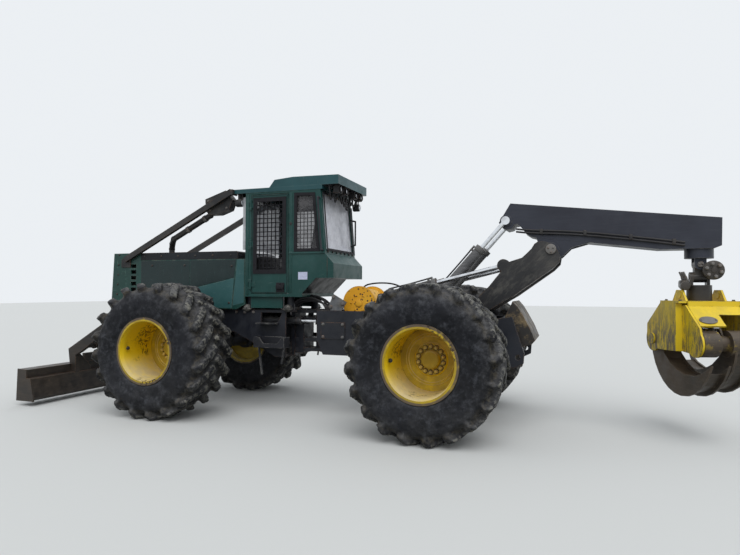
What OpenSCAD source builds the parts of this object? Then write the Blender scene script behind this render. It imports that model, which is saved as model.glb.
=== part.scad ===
/* [Machine] */
// Distance of the articulation pivot ahead of the origin
pivot_x = 550; // [300:10:700]
// Distance from the articulation pivot to each axle
axle_reach = 1815; // [1780:5:1900]
// Height of the axles above the datum plane that all heights are measured from
axle_h = 830; // [800:5:860]
// Clearance between flat faces that are bolted or seated
seat_gap = 0.3; // [0.1:0.1:0.5]

/* [Wheels] */
// Outer radius of the tyre at the lugs' tips
tyre_r = 885; // [870:5:900]
// Width of the tyre's section
tyre_w = 775; // [700:5:780]
// Distance from the centreline to the middle of a tyre
tyre_y = 1190; // [1180:5:1230]
// Height of the lugs above the carcass
lug_h = 52; // [30:1:60]
// Thickness of a lug along the tread
lug_t = 100; // [60:2:110]
// Lugs on each side of the tread
lug_count = 20; // [8:1:22]
// Slant of the lugs from the axle's direction
lug_slant = 38; // [20:1:45]
// Outer radius of the rim's flange
rim_r = 435; // [420:1:445]
// Width of the rim across its flanges
rim_w = 716; // [680:2:716]
// Depth from the rim's outer flange to the disc
dish_depth = 590; // [500:5:600]
// Thickness of the rim's metal
rim_t = 16; // [10:1:22]

/* [Front frame] */
// Half width of the frames across their side plates
frame_half_w = 450; // [430:5:470]
// Thickness of the frames' side plates
frame_t = 30; // [20:1:40]
// Height of the frames' top
frame_top = 1350; // [1330:5:1360]
// Lower edge of the front frame's side plates
frame_low = 1030; // [1015:5:1080]
// Bottom of the frames beside the articulation
frame_belly = 700; // [680:5:740]
// Front end of the front frame
frame_nose_x = 3230; // [3180:5:3260]
// Rear end of the front frame's side plates
frame_tail_x = 360; // [350:5:400]
// Diameter of the articulation pins
hinge_pin_d = 90; // [70:2:110]
// Diameter of the tie-down holes in both frames
tie_hole_d = 62; // [50:2:70]
// Tie-down hole of the front frame, from the articulation pivot
tie_front_x = 2860; // [2700:10:2900]

/* [Hood] */
// Half width of the hood
hood_half_w = 530; // [500:5:540]
// Thickness of the hood's panels
hood_t = 30; // [15:1:40]
// Rear end of the hood
hood_rear_x = 1110; // [1100:5:1140]
// Split between the side panels and the nose
hood_split_x = 2776; // [2700:5:2800]
// Front face of the nose
hood_front_x = 3300; // [3290:5:3340]
// Lower edge of the hood's side panels
hood_low = 1352; // [1352:2:1400]
// Top of the hood's side panels
hood_side_top = 2060; // [2040:5:2080]
// Top of the black cover and of the nose
hood_top_z = 2172; // [2150:2:2200]

/* [Cab] */
// Half width of the cab
cab_half_w = 540; // [520:5:560]
// Thickness of the cab's walls and doors
cab_t = 50; // [35:1:60]
// Bottom of the cab's side walls
cab_floor = 1530; // [1500:5:1540]
// Front face of the cab
cab_front_x = 955; // [940:5:980]
// Top of the cab's walls
cab_top = 2977; // [2970:1:2990]
// Height of the waist under the rear windows
cab_waist = 2112; // [2080:2:2140]
// Rear edge of the doors
door_rear_x = 284; // [270:2:300]
// Front edge of the doors
door_front_x = 857; // [840:1:865]
// Gap round the doors
door_gap = 8; // [6:1:12]
// Thickness of the roof slab
roof_t = 60; // [40:1:80]

/* [Blade] */
// Half width of the blade
blade_half_w = 1400; // [1300:10:1500]
// Height of the blade's top edge
blade_top = 470; // [430:5:520]
// Height of the cutting edge
blade_low = 20; // [0:5:60]
// Rear edge of the blade's box at its ridge
blade_back_x = 3942; // [3900:5:3990]
// Height of the ridge above the box behind the blade
blade_ridge_z = 334; // [320:2:350]
// Half width of the raised middle of the blade
blade_mid_half = 360; // [340:10:400]
// Distance from the centreline to each blade arm
blade_arm_y = 575; // [575:5:620]

/* [Rear frame] */
// Front edge of the rear frame
rear_front_x = -107; // [-120:1:-105]
// Rear end of the rear frame
rear_tail_x = -2560; // [-2600:5:-2540]
// Distance from the centreline to the arch cylinders
arch_cyl_y = 350; // [345:1:355]
// Distance from the centreline to the boom cylinders
boom_cyl_y = 204; // [202:1:208]

/* [Boom] */
// Half width of the boom
boom_half_w = 168; // [150:1:168]

/* [Grapple] */
// Angle that the grapple is turned about its hanging axis
grapple_turn = 20; // [0:1:40]
// Distance from the rotator's axis to each tong pivot
tong_reach = 380; // [370:5:390]
// Half length of the grapple's head along the tong pivots
head_half_l = 350; // [345:5:370]
// Half width of the head's top
head_half_w = 195; // [180:5:200]
// Thickness of the head's plates
head_t = 25; // [20:1:25]
// Width of each tong
tong_w = 210; // [200:5:215]

/* [Hidden] */
$fn = 48;

// Pins and eyes in side view, as [x, z] from the articulation pivot and the datum plane
arch_pin = [-1800, 1200];
boom_pin = [-3120, 2120];
boom_eye = [-2575, 2500];
boom_base = [-1560, 1363];
arch_eye = [-2570, 1935];
arch_base = [-1000, 1538];
blade_pin = [frame_nose_x - 150, 1000];
blade_eye = [blade_back_x - 127, 800];
blade_base = [frame_nose_x - 140, 1130];
blade_tube = [blade_back_x - 37, 735];
blade_cyl_y = 250;
boom_end_x = -4730;
swing_z = 1935;
tilt_z = 1790;
head_top = 1520;
tong_pin_z = 1060;
// Steering cylinder ends in plan, as [x, y] of the left one
steer_base = [1010, 300];
steer_eye = [-55, 262];
steer_z = 1200;
// Running clearances on a diameter and along a pin
run_gap = 0.1;
side_gap = 0.4;
// Half width between the side plates, less their seats
inner_half = frame_half_w - frame_t - seat_gap;
// Tie-down hole in the rear wings, clear of the tyres
tie_rear = [-2755, 850];
eye_t = 60;
door_hinge = [door_front_x + door_gap / 2, cab_half_w + 14];
door_hinge_z = [1700, 2260, 2800];
leg_in = arch_cyl_y - 70;
leg_out = arch_cyl_y + 65;
disc_y = tyre_y + rim_w / 2 - dish_depth;
hub_r = 145;
// Pin of the tong cylinder on the tong that closes towards -X, in the grapple's side view
tong_lug = [tong_reach - 100, tong_pin_z + 172];

// Carries shapes measured from the pivot and the datum plane to the machine's own frame
module machine() translate([pivot_x, 0, tyre_r - axle_h]) children();

module both_sides() {
    children();
    mirror([0, 1, 0]) children();
}

// A plate whose outline lies in side view, from y to y + t
module side_plate(points, y, t) translate([0, y + t, 0]) rotate([90, 0, 0]) linear_extrude(t) polygon(points);

// A disc or pin across the machine, centred at y
module disc(p, y, d, t) translate([p.x, y + t / 2, p.y]) rotate([90, 0, 0]) cylinder(h = t, d = d);

// A round bar from p to q
module bar(p, q, d) {
    v = q - p;
    translate(p) rotate([0, acos(v.z / norm(v)), atan2(v.y, v.x)]) cylinder(h = norm(v), d = d);
}

// A flat bar in side view from p to q, w high and t thick, centred at y
module flat_bar(p, q, y, w, t) {
    v = q - p;
    translate([p.x, y, p.y]) rotate([0, atan2(-v.y, v.x), 0]) translate([0, -t / 2, -w / 2]) cube([norm(v), t, w]);
}

// Turns a cylinder drawn along +Z so that it runs in side view from p towards q, at y
module aim(p, q, y) {
    v = q - p;
    translate([p.x, y, p.y]) rotate([0, atan2(v.x, v.y), 0]) children();
}

// Hydraulic barrel along +Z with its base eye at the origin, across Y
module barrel(length, d, rod_d, pin_d) difference() {
    union() {
        rotate([90, 0, 0]) cylinder(h = eye_t, d = pin_d + 44, center = true);
        translate([-pin_d / 2 - 10, -eye_t / 2, 0]) cube([pin_d + 20, eye_t, pin_d / 2 + 40]);
        translate([0, 0, pin_d / 2 + 36]) cylinder(h = length - pin_d / 2 - 36, d = d);
        translate([0, 0, length - 60]) cylinder(h = 60, d = d + 16);
    }
    rotate([90, 0, 0]) cylinder(h = eye_t + 2, d = pin_d + run_gap, center = true);
    translate([0, 0, pin_d / 2 + 56]) cylinder(h = length, d = rod_d + 1);
}

// Rod along +Z from its inner end to its eye at reach, with the pin's middle left in the eye
module ram(inner, reach, rod_d, pin_d, eye_t) {
    translate([0, 0, inner]) cylinder(h = reach - inner - pin_d / 2, d = rod_d);
    translate([0, 0, reach]) rotate([90, 0, 0]) cylinder(h = eye_t, d = pin_d + 44, center = true);
}

module carcass() {
    h = tyre_w / 2;
    r = tyre_r - lug_h;
    bead = rim_r - 47;
    rotate([-90, 0, 0]) rotate_extrude($fn = 96) polygon([[bead, 72 - rim_w / 2], [rim_r - 33, rim_t + 1 - rim_w / 2],
        [rim_r + 1, rim_t + 1 - rim_w / 2], [rim_r + 40, -h + 14], [0.55 * r + 0.45 * rim_r, -h], [r - 100, -h + 20],
        [r - 30, -h + 90], [r, 0], [r - 30, h - 90], [r - 100, h - 20], [0.55 * r + 0.45 * rim_r, h],
        [rim_r + 40, h - 14], [rim_r + 1, rim_w / 2 - rim_t - 1], [rim_r - 33, rim_w / 2 - rim_t - 1],
        [bead, rim_w / 2 - 72]]);
}

module lug(side) {
    h = tyre_w / 2;
    tip = sqrt(tyre_r * tyre_r - lug_t * lug_t / 4) - 0.5;
    rotate([0, 0, side * lug_slant]) rotate([90, 0, 90]) translate([0, 0, -lug_t / 2]) linear_extrude(lug_t)
        polygon([[side * 8, tip - 90], [side * 8, tip], [side * (h + 20), tip - 24], [side * (h + 74), tip - 110],
            [side * (h + 20), tip - 190], [side * h / 2, tip - 120]]);
}

module tyre(x, side) color("#26262a") machine() translate([x, side * tyre_y, axle_h]) intersection() {
    union() {
        carcass();
        for (s = [-1, 1], i = [0 : lug_count - 1]) {
            rotate([0, (i + s / 4) * 360 / lug_count, 0]) lug(s);
        }
    }
    rotate([-90, 0, 0]) cylinder(h = tyre_w + 16, r = tyre_r, center = true, $fn = 96);
}

module rim(x, side) color("#e0b21e") machine() translate([x, side * tyre_y, axle_h]) rotate([-90 * side, 0, 0]) {
    h = rim_w / 2;
    d = disc_y - tyre_y;
    rotate_extrude($fn = 96) polygon([[0, d - 12], [rim_r - 64, d - 12], [rim_r - 64, -h + 60], [rim_r - 50, -h],
        [rim_r, -h], [rim_r, -h + rim_t], [rim_r - 34, -h + rim_t], [rim_r - 48, -h + 70], [rim_r - 48, h - 70],
        [rim_r - 34, h - rim_t], [rim_r, h - rim_t], [rim_r, h], [rim_r - 50, h], [rim_r - 64, h - 60],
        [rim_r - 64, d + 12], [200, d + 12], [185, d + 32], [115, d + 32], [105, d + 84], [90, d + 92], [0, d + 92]]);
}

module axle(x, gap = 0) {
    half = disc_y - 12 - side_gap;
    translate([x, 0, axle_h]) rotate([-90, 0, 0]) rotate_extrude() polygon([[0, -half - gap], [170 + gap, -half - gap],
        [170 + gap, -half + 110 + gap], [125 + gap, -half + 150 + gap], [105 + gap, -330], [165 + gap, -250],
        [190 + gap, -120], [190 + gap, 120], [165 + gap, 250], [105 + gap, 330], [125 + gap, half - 150 - gap],
        [170 + gap, half - 110 - gap], [170 + gap, half + gap], [0, half + gap]]);
}

// Saddle between a side plate and the axle's housing, reaching up to z
module saddle(x, z) difference() {
    translate([x - 130, frame_half_w - 120, axle_h + 60]) cube([260, 119, z - axle_h - 60]);
    axle(x, seat_gap);
}

// Two ears of a steering cylinder, which reach to their plate in the given direction
module steer_ears(p, reach, along) {
    for (s = [-1, 1]) translate([p.x, p.y, steer_z + s * (eye_t / 2 + side_gap + 10) - 10]) linear_extrude(20) {
        circle(r = 50);
        rotate([0, 0, along]) translate([0, -50]) square([reach, 100]);
    }
}

module front_axle() color("#1f2022") machine() axle(axle_reach);

module rear_axle() color("#1f2022") machine() axle(-axle_reach);

module hinge_ear(z, t, x) translate([0, 0, z]) linear_extrude(t) {
    circle(r = 100);
    polygon([[0, -100], [x, -160], [x, 160], [0, 100]]);
}

// Cross members given as [x, length, lower z, upper z]
module cross_members(list, half_w) for (m = list) {
    translate([m[0], -half_w, m[2]]) cube([m[1], 2 * half_w, m[3] - m[2]]);
}

module front_frame() color("#23252b") machine() {
    both_sides() front_side();
    // Tail box with the hinge ears above and below the pivot
    difference() {
        union() {
            cross_members([[frame_tail_x, 50, frame_belly, frame_top]], 180);
            cross_members([[frame_tail_x - 130, 140, 735, 1150]], 150);
            for (z = [[760, 50], [900, 50], [1190, 50], [1300, 50]]) hinge_ear(z[0], z[1], frame_tail_x + 10);
        }
        for (z = [740, 1170]) translate([0, 0, z]) cylinder(h = 240, d = hinge_pin_d + run_gap);
    }
    cross_members([[2620, 60, frame_low, 1090], [1240, 60, frame_low, 1100],
        [frame_tail_x + 50 + seat_gap, 650, frame_top - 25, frame_top],
        [frame_tail_x + 50 + seat_gap, 110, frame_belly, frame_belly + 25]], inner_half);
    // Rubber blocks under the cab
    both_sides() for (x = [318, 953]) {
        translate([x, frame_half_w - 65, frame_top + seat_gap])
            cylinder(h = cab_floor - 2 * seat_gap - frame_top, d = 110);
    }
    both_sides() {
        steer_ears(steer_base, frame_half_w - frame_t - seat_gap - steer_base.y, 90);
        translate([steer_base.x, steer_base.y, steer_z - 69]) cylinder(h = 138, d = 50);
    }
    both_sides() blade_bracket();
    // Front plate with the blade cylinders' ears behind it and the ways for the cylinders
    difference() {
        union() {
            cross_members([[frame_nose_x - 40, 40, frame_low, frame_top]], inner_half);
            both_sides() {
                for (s = [-1, 1]) {
                    side_plate([[blade_base.x - 47, blade_base.y], [blade_base.x + 30, blade_base.y + 36],
                        [blade_base.x + 38, blade_base.y + 92], [frame_nose_x - 10, blade_base.y + 105],
                        [frame_nose_x - 10, frame_top - 10], [blade_base.x - 40, frame_top - 10]],
                        blade_cyl_y + s * (eye_t / 2 + side_gap + 10) - 10, 20);
                    disc(blade_base, blade_cyl_y + s * (eye_t / 2 + side_gap + 10), 94, 20);
                }
                disc(blade_base, blade_cyl_y, 50, 110);
            }
        }
        both_sides() translate([frame_nose_x - 41, blade_cyl_y - 70, frame_low - 1])
            cube([42, 140, blade_base.y + 86 - frame_low]);
    }
}

// A side plate of the front frame with its saddle, the rear cab seat, the step pocket and the tie-down hole
module front_side() difference() {
    union() {
        side_plate([[frame_nose_x, frame_low], [frame_nose_x, frame_top], [frame_tail_x, frame_top],
            [frame_tail_x, frame_belly], [520, frame_belly], [900, 900], [1180, frame_low]],
            frame_half_w - frame_t, frame_t);
        translate([258, frame_half_w - 130, frame_top - 25]) cube([120, 129, 24]);
        saddle(axle_reach, frame_low + 20);
    }
    side_plate([[500, 1169], [470, 1200], [420, frame_top - 40], [745, frame_top - 40], [745, 1169]],
        frame_half_w - frame_t - 1, frame_t + 2);
    disc([tie_front_x, 1120], frame_half_w, tie_hole_d, 200);
}

// Outer bracket of the front frame with the pin of a blade arm
module blade_bracket() {
    for (y = [blade_arm_y - 35 - side_gap - 20, blade_arm_y + 35 + side_gap]) {
        side_plate([[blade_pin.x - 140, frame_low + 20], [blade_pin.x - 70, blade_pin.y - 20],
            [blade_pin.x + 70, blade_pin.y - 20], [blade_pin.x + 140, frame_low + 20],
            [blade_pin.x + 140, 1200], [blade_pin.x - 140, 1200]], y, 20);
        disc(blade_pin, y + 10, 160, 20);
    }
    disc(blade_pin, blade_arm_y, 60, 70 + 2 * side_gap + 50);
    translate([blade_pin.x - 139, frame_half_w + seat_gap, 1110])
        cube([139, blade_arm_y + 55 + side_gap - frame_half_w - seat_gap - 1, 89]);
}

module rear_frame() color("#23252b") machine() {
    both_sides() rear_side();
    // Front plate with the hinge ears, the windows behind the steering eyes and the articulation pins
    difference() {
        union() {
            cross_members([[rear_front_x - 60, 60, 960, frame_top]], inner_half);
            cross_members([[rear_front_x - 60, 60, 780, 961]], 200);
            for (z = [[815, 80], [1245, 50]]) mirror([1, 0, 0]) hinge_ear(z[0], z[1], -rear_front_x + 10);
            for (z = [[748, 210], [1182, 176]]) translate([0, 0, z[0]]) cylinder(h = z[1], d = hinge_pin_d - run_gap);
        }
        both_sides() translate([rear_front_x - 70, steer_eye.y - 62, steer_z - eye_t / 2 - side_gap])
            cube([80, 162, eye_t + 2 * side_gap]);
    }
    both_sides() steer_ears(steer_eye, steer_eye.x - rear_front_x - seat_gap, 180);
    cross_members([[-300, 133 - seat_gap, frame_top - 25, frame_top], [-900, 50, 800, 1200],
        [-1350, 50, 920, frame_top - 25 - seat_gap], [rear_tail_x, 40, 900, 1290]], inner_half);
    // Deck with the arch cylinders' ears
    cross_members([[-1350, 450, frame_top - 25, frame_top]], inner_half);
    both_sides() {
        for (s = [-1, 1]) {
            side_plate([[arch_base.x - 119, frame_top - 10], [arch_base.x + 99, frame_top - 10],
                [arch_base.x + 47, arch_base.y], [arch_base.x - 47, arch_base.y]],
                arch_cyl_y + s * (eye_t / 2 + side_gap + 10) - 10, 20);
            disc(arch_base, arch_cyl_y + s * (eye_t / 2 + side_gap + 10), 94, 20);
        }
        disc(arch_base, arch_cyl_y, 50, 110);
    }
    // Arch shaft
    disc(arch_pin, 0, 90 - run_gap, 2 * frame_half_w + 30);
    both_sides() rear_wing();
}

// A side plate of the rear frame with its saddle, its front cover and the hole for the arch shaft
module rear_side() difference() {
    union() {
        side_plate([[rear_front_x, 960], [rear_front_x, frame_top], [-1350, frame_top],
            [-1480, frame_top], [-1640, 1290], [rear_tail_x, 1290], [rear_tail_x, 900],
            [-2130, 900], [-2070, 1040], [-1560, 1040], [-1460, 900], [-700, 760], [-200, 760]],
            frame_half_w - frame_t, frame_t);
        translate([-520, frame_half_w - 1, 975]) cube([345, 14, 218]);
        saddle(-axle_reach, 1050);
    }
    disc(arch_pin, frame_half_w, 90, 200);
}

// Wing beside the butt plate, with a tie-down hole behind the tyre
module rear_wing() difference() {
    union() {
        side_plate([[-2500, 1290], [-2690, 1320], [-2830, 900], [-2820, 780], [-2700, 720], [-2500, 900]], 560, 60);
        translate([rear_tail_x, frame_half_w + seat_gap, 920]) cube([40, 570 - frame_half_w - seat_gap, 360]);
    }
    disc(tie_rear, 590, tie_hole_d, 200);
}

module steer_barrel(s) color("#2a2b30") machine() mirror([0, s < 0 ? 1 : 0, 0])
    translate([steer_base.x, steer_base.y, steer_z])
    rotate([0, 0, atan2(steer_eye.y - steer_base.y, steer_eye.x - steer_base.x)]) rotate([0, 90, 0])
    rotate([0, 0, 90]) barrel(800, 96, 50, 50);

module steer_rod(s) color("#c8ccd0") machine() mirror([0, s < 0 ? 1 : 0, 0])
    translate([steer_base.x, steer_base.y, steer_z])
    rotate([0, 0, atan2(steer_eye.y - steer_base.y, steer_eye.x - steer_base.x)]) rotate([0, 90, 0])
    rotate([0, 0, 90]) ram(420, norm(steer_eye - steer_base), 50, 50, eye_t);

module engine() color("#2c2d30") machine() {
    translate([1480, -330, frame_top - 250]) cube([1100, 660, 900]);
    translate([1560, -inner_half, 1120]) cube([120, 2 * inner_half, 60]);
    // Radiator behind the grille and the louvres
    translate([hood_split_x + hood_t + 20, -430, frame_top + seat_gap]) cube([370, 860, 700]);
}

module hood() color("#1d4a3a") machine() difference() {
    union() {
        both_sides() {
            side_plate([[cab_front_x + 10, 1420], [cab_front_x + 10, hood_side_top], [hood_split_x, hood_side_top],
                [hood_split_x, hood_low], [1100, hood_low]], hood_half_w - hood_t, hood_t);
            side_plate([[hood_split_x - 1, 1352], [hood_split_x - 1, hood_top_z - 1], [hood_front_x - 17, hood_top_z - 1],
                [hood_front_x + 38, 1231], [frame_nose_x + 4, 1231], [frame_nose_x + 4, 1352]],
                hood_half_w - hood_t, hood_t);
        }
        // Top and front of the nose, and the cross walls
        side_plate([[hood_split_x, hood_top_z - hood_t], [hood_split_x, hood_top_z], [hood_front_x - 16, hood_top_z],
            [hood_front_x + 40, 1230], [hood_front_x + 40 - hood_t, 1230], [hood_front_x - 16 - hood_t,
            hood_top_z - hood_t]], -hood_half_w + 1, 2 * hood_half_w - 2);
        translate([hood_split_x, -hood_half_w + 1, frame_top + seat_gap]) cube([hood_t, 2 * hood_half_w - 2, 110]);
        translate([1400, -hood_half_w + 1, frame_top + seat_gap]) cube([hood_t, 2 * hood_half_w - 2, 60]);
    }
    // Seam between the hood's side panels and the cowl
    both_sides() flat_bar([1180, hood_low - 10], [hood_rear_x - 25, hood_side_top + 10], hood_half_w, 8, 12);
    // Radiator grille in the front
    for (z = [0 : 7]) translate([hood_front_x - 60, -380, 1380 + 86 * z]) cube([140, 760, 52]);
    // Column of square louvres in the nose's sides
    for (z = [0 : 6]) translate([2862, -600, 1420 + 88 * z]) cube([100, 1200, 56]);
}

module hood_top() color("#1b1c20") machine() side_plate([[1085, hood_side_top + seat_gap], [1085, hood_top_z - 14],
    [1105, hood_top_z], [hood_split_x - 1, hood_top_z], [hood_split_x - 1, hood_side_top + seat_gap]],
    -hood_half_w, 2 * hood_half_w);

module exhaust() color("#2b2725") machine() {
    pts = [[2395, 300, hood_top_z + seat_gap], [2395, 300, 2240], [2350, 345, 2315], [2230, 462, 2376], [1590, 462, 2702]];
    for (i = [0 : len(pts) - 2]) {
        bar(pts[i], pts[i + 1], 84);
        translate(pts[i + 1]) sphere(d = 92);
    }
    // Guard at the outlet, with its rounded lower end
    difference() {
        side_plate([[1640, 2930], [1300, 3040], [1185, 2900], [1240, 2760], [1420, 2700], [1570, 2700], [1630, 2760]],
            396, 128);
        side_plate([[1700, 2900], [1310, 3024], [1206, 2896], [1254, 2774], [1420, 2716], [1560, 2716], [1700, 2780]],
            408, 104);
    }
    translate([1340, 520, 2860]) cube([120, 10, 80]);
}

module limb_risers() color("#222227") machine() both_sides() {
    y = hood_half_w + seat_gap;
    flat_bar([3040, 2070], [1170, 3010], y + 30, 80, 56);
    side_plate([[2960, 2140], [3130, 2080], [3130, 1960], [2960, 1960]], y, 14);
    translate([1137 + seat_gap, y - 60, 2960]) cube([24, 126, 76]);
}

// Cab outline in side view, inset by w
function cab_outline(w) = [[cab_front_x - w, cab_floor + w], [cab_front_x - w, cab_top + (w > 0 ? 10 : 0)],
    [-191 + w, cab_top + (w > 0 ? 10 : 0)], [-267 + w, cab_waist + w / 2], [-388 + w, 1981], [-388 + w, 1787 + w],
    [-134 - w / 3, 1787 + w], [73, 1578 + w / 2], [73, cab_floor + w]];

// Outer face of the cab's sloping rear wall at height z
function cab_rear(z) = -191 - (cab_top - z) * 76 / (cab_top - cab_waist);

function side_window(g) = [[190 - g, 2940 - g], [-110 + g, 2930 - g], [-185 + g, 2150 + g], [190 - g, 2150 + g]];

module cab_cut(points) side_plate(points, -cab_half_w - 10, 2 * cab_half_w + 20);

// Half of a door hinge: a knuckle from z to z + h and its leaf, which reaches to x
module knuckle(x, z, h) {
    translate([door_hinge.x, door_hinge.y, z]) cylinder(h = h, d = 26);
    translate([min(x, door_hinge.x), cab_half_w - 1, z]) cube([abs(x - door_hinge.x), 9, h]);
}

module cab() color("#1d4a3a") machine() {
    cab_shell();
    both_sides() for (z = door_hinge_z) {
        for (end = [z - 65, z + 35]) knuckle(door_hinge.x + 50, end, 30);
        translate([door_hinge.x, door_hinge.y, z - 65]) cylinder(h = 130, d = 16);
    }
    // Rocker panel between the cab's seats
    both_sides() translate([388, cab_half_w - 61, frame_top + 25]) cube([495, 20, cab_floor - frame_top - 15]);
}

module cab_shell() difference() {
    side_plate(cab_outline(0), -cab_half_w, 2 * cab_half_w);
    side_plate(cab_outline(cab_t), -cab_half_w + cab_t, 2 * (cab_half_w - cab_t));
    // Doorways
    cab_cut([[door_front_x + door_gap, cab_floor + 40], [door_front_x + door_gap, 2950], [door_rear_x - door_gap, 2950],
        [door_rear_x - door_gap, cab_floor + 40]]);
    // Rear side windows
    cab_cut(side_window(0));
    // Windscreen and rear window
    translate([cab_front_x - 60, -cab_half_w + 60, 2090]) cube([90, 2 * cab_half_w - 120, 840]);
    translate([-330, -cab_half_w + 60, cab_waist + 60]) cube([260, 2 * cab_half_w - 120, 780]);
}

module cab_roof() color("#1d4a3a") machine() {
    side_plate([[1137, cab_top + seat_gap], [1137, cab_top + roof_t], [-216, cab_top + roof_t], [-216, cab_top + seat_gap]],
        -cab_half_w - 4, 2 * cab_half_w + 8);
    // Raised cap that reaches back as a visor
    side_plate([[585, cab_top + roof_t - 1], [503, 3140], [220, 3165], [-451, 3157], [-451, 3034], [-216, 3034]],
        -cab_half_w, 2 * cab_half_w);
}

module cab_glass() color("#9fb5b0") machine() {
    translate([cab_front_x - 30, -cab_half_w + 60 + seat_gap, 2090 + seat_gap])
        cube([8, 2 * (cab_half_w - 60 - seat_gap), 840 - 2 * seat_gap]);
    low = cab_waist + 60 + seat_gap;
    high = cab_waist + 840 - seat_gap;
    side_plate([[cab_rear(high) + 28, high], [cab_rear(high) + 20, high], [cab_rear(low) + 20, low],
        [cab_rear(low) + 28, low]], -cab_half_w + 60 + seat_gap, 2 * (cab_half_w - 60 - seat_gap));
    both_sides() side_plate(side_window(seat_gap), cab_half_w - 28, 8);
}

module cab_screens() color("#8d9696") machine() {
    // Clear shield that stands ahead of the windscreen on its two side returns
    translate([cab_front_x + 60, -cab_half_w + 40, 2190]) cube([8, 2 * cab_half_w - 80, 740]);
    both_sides() translate([cab_front_x + seat_gap, cab_half_w - 49, 2191]) cube([62, 8, 738]);
}

module operator_seat() color("#2a2c30") machine() {
    translate([120, -230, cab_floor + cab_t + seat_gap]) cube([420, 460, 270]);
    translate([90, -250, cab_floor + cab_t + 271]) cube([520, 500, 120]);
    translate([40, -240, cab_floor + cab_t + 380]) rotate([0, -8, 0]) cube([110, 480, 620]);
    translate([760, -350, cab_floor + cab_t + seat_gap]) cube([140, 700, 520]);
}

module steps() color("#2a2b2e") machine() both_sides() {
    y = frame_half_w + seat_gap;
    z0 = 838;
    // Box step with the notch for the boot in its outer plate
    difference() {
        translate([300, y, z0]) cube([470, 160, 142]);
        translate([314, y + 14, z0 + 14]) cube([442, 132, 142]);
        side_plate([[405, z0 + 58], [620, z0 + 58], [690, z0 + 150], [330, z0 + 150]], y + 140, 40);
    }
    translate([470, y, 1155]) cube([290, 120, 16]);
    // Hanging straps under the box
    for (e = [[[700, z0 + 6], [648, 470]], [[312, z0 + 6], [352, 625]]]) flat_bar(e[0], e[1], y + 130, 12, 40);
}

module lamps() color("#c9ccc8") machine() {
    for (y = [-380, -180, 180, 380]) translate([-420, y - 55, 3034 - 100 - seat_gap]) cube([90, 110, 100]);
    for (y = [-420, 420]) translate([1040, y - 60, cab_top - 100]) cube([80, 120, 100]);
}

module handrails() color("#1c1d20") machine() both_sides() {
    y = cab_half_w + 60;
    ends = [[-235, y, 2160], [-180, y, 2860]];
    bar(ends[0], ends[1], 26);
    for (e = ends) {
        translate(e) sphere(d = 29);
        translate([e.x, cab_half_w + seat_gap, e.z]) rotate([-90, 0, 0]) cylinder(h = 60 - seat_gap, d = 26);
    }
}

module door() {
    x0 = door_rear_x;
    x1 = door_front_x;
    z0 = cab_floor + 48;
    difference() {
        translate([x0, cab_half_w - cab_t, z0]) cube([x1 - x0, cab_t, 2942 - z0]);
        translate([x0 + 52, cab_half_w - cab_t - 5, 1870]) cube([x1 - x0 - 104, cab_t + 10, 1010]);
    }
    for (x = [x0 + 90 : 62 : x1 - 70]) translate([x, cab_half_w - cab_t + 8, 1860]) cube([8, 8, 1030]);
    for (z = [1930 : 62 : 2850]) translate([x0 + 45, cab_half_w - cab_t + 8, z]) cube([x1 - x0 - 90, 8, 8]);
    translate([x0 + 60, cab_half_w - 1, 1640]) cube([110, 24, 50]);
    difference() {
        for (z = door_hinge_z) knuckle(x1 - 60, z - 34, 68);
        translate([door_hinge.x, door_hinge.y, z0]) cylinder(h = 1400, d = 16 + run_gap);
    }
}

module door_left() color("#1d4a3a") machine() door();

module door_right() color("#1d4a3a") machine() mirror([0, 1, 0]) door();

module blade() color("#3a2f28") machine() {
    b = blade_back_x;
    // Mouldboard with its box back, between two end plates
    side_plate([[b - 62, blade_low + 50], [b, blade_ridge_z], [b + 83, blade_ridge_z + 4], [b + 77, blade_top - 8],
        [b + 238, blade_top], [b + 188, 400], [b + 158, 280], [b + 178, 150], [b + 258, blade_low], [b - 42, blade_low + 8]],
        -blade_half_w + 5, 2 * blade_half_w - 10);
    both_sides() side_plate([[b - 66, blade_low - 3], [b - 66, blade_low + 52], [b - 4, blade_ridge_z + 5],
        [b + 74, blade_ridge_z + 9], [b + 72, blade_top - 4], [b + 244, blade_top + 4], [b + 262, blade_low - 3]],
        blade_half_w - 22, 22);
    // Raised middle and the gussets at the arms' feet
    translate([b + 84, -blade_mid_half, blade_top - 30]) cube([45, 2 * blade_mid_half, 160]);
    both_sides() translate([b + 18, 0, 0]) rotate([90, 0, 90]) linear_extrude(32)
        polygon([[blade_arm_y - 30, 650], [blade_arm_y - 30, 300], [300, 300], [300, 400], [345, 450]]);
    difference() {
        union() {
            both_sides() {
                side_plate([[blade_pin.x, blade_pin.y + 62], [blade_pin.x + 350, 1090], [b + 152, 690],
                    [b + 101, 330], [b + 95, 250], [b + 12, 250], [b - 2, 340], [b + 8, 600], [b - 92, 650],
                    [blade_pin.x + 350, 930], [blade_pin.x, blade_pin.y - 62]], blade_arm_y - 35, 70);
                disc(blade_pin, blade_arm_y, 130, 70);
            }
            disc(blade_tube, 0, 90, 2 * blade_arm_y);
            // Ears for the blade cylinders, on the cross tube
            both_sides() for (s = [-1, 1]) {
                y = blade_cyl_y + s * (eye_t / 2 + side_gap + 10);
                disc(blade_eye, y, 94, 20);
                disc(blade_tube, y, 130, 20);
                flat_bar(blade_eye, blade_tube, y, 90, 20);
            }
        }
        disc(blade_pin, 0, 60 + run_gap, 3 * blade_arm_y);
    }
}

module blade_barrels() color("#2a2b30") machine() both_sides()
    aim(blade_base, blade_eye, blade_cyl_y) barrel(560, 96, 50, 50);

module blade_rods() color("#c8ccd0") machine() both_sides()
    aim(blade_base, blade_eye, blade_cyl_y) ram(330, norm(blade_eye - blade_base), 50, 50, eye_t);

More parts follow.
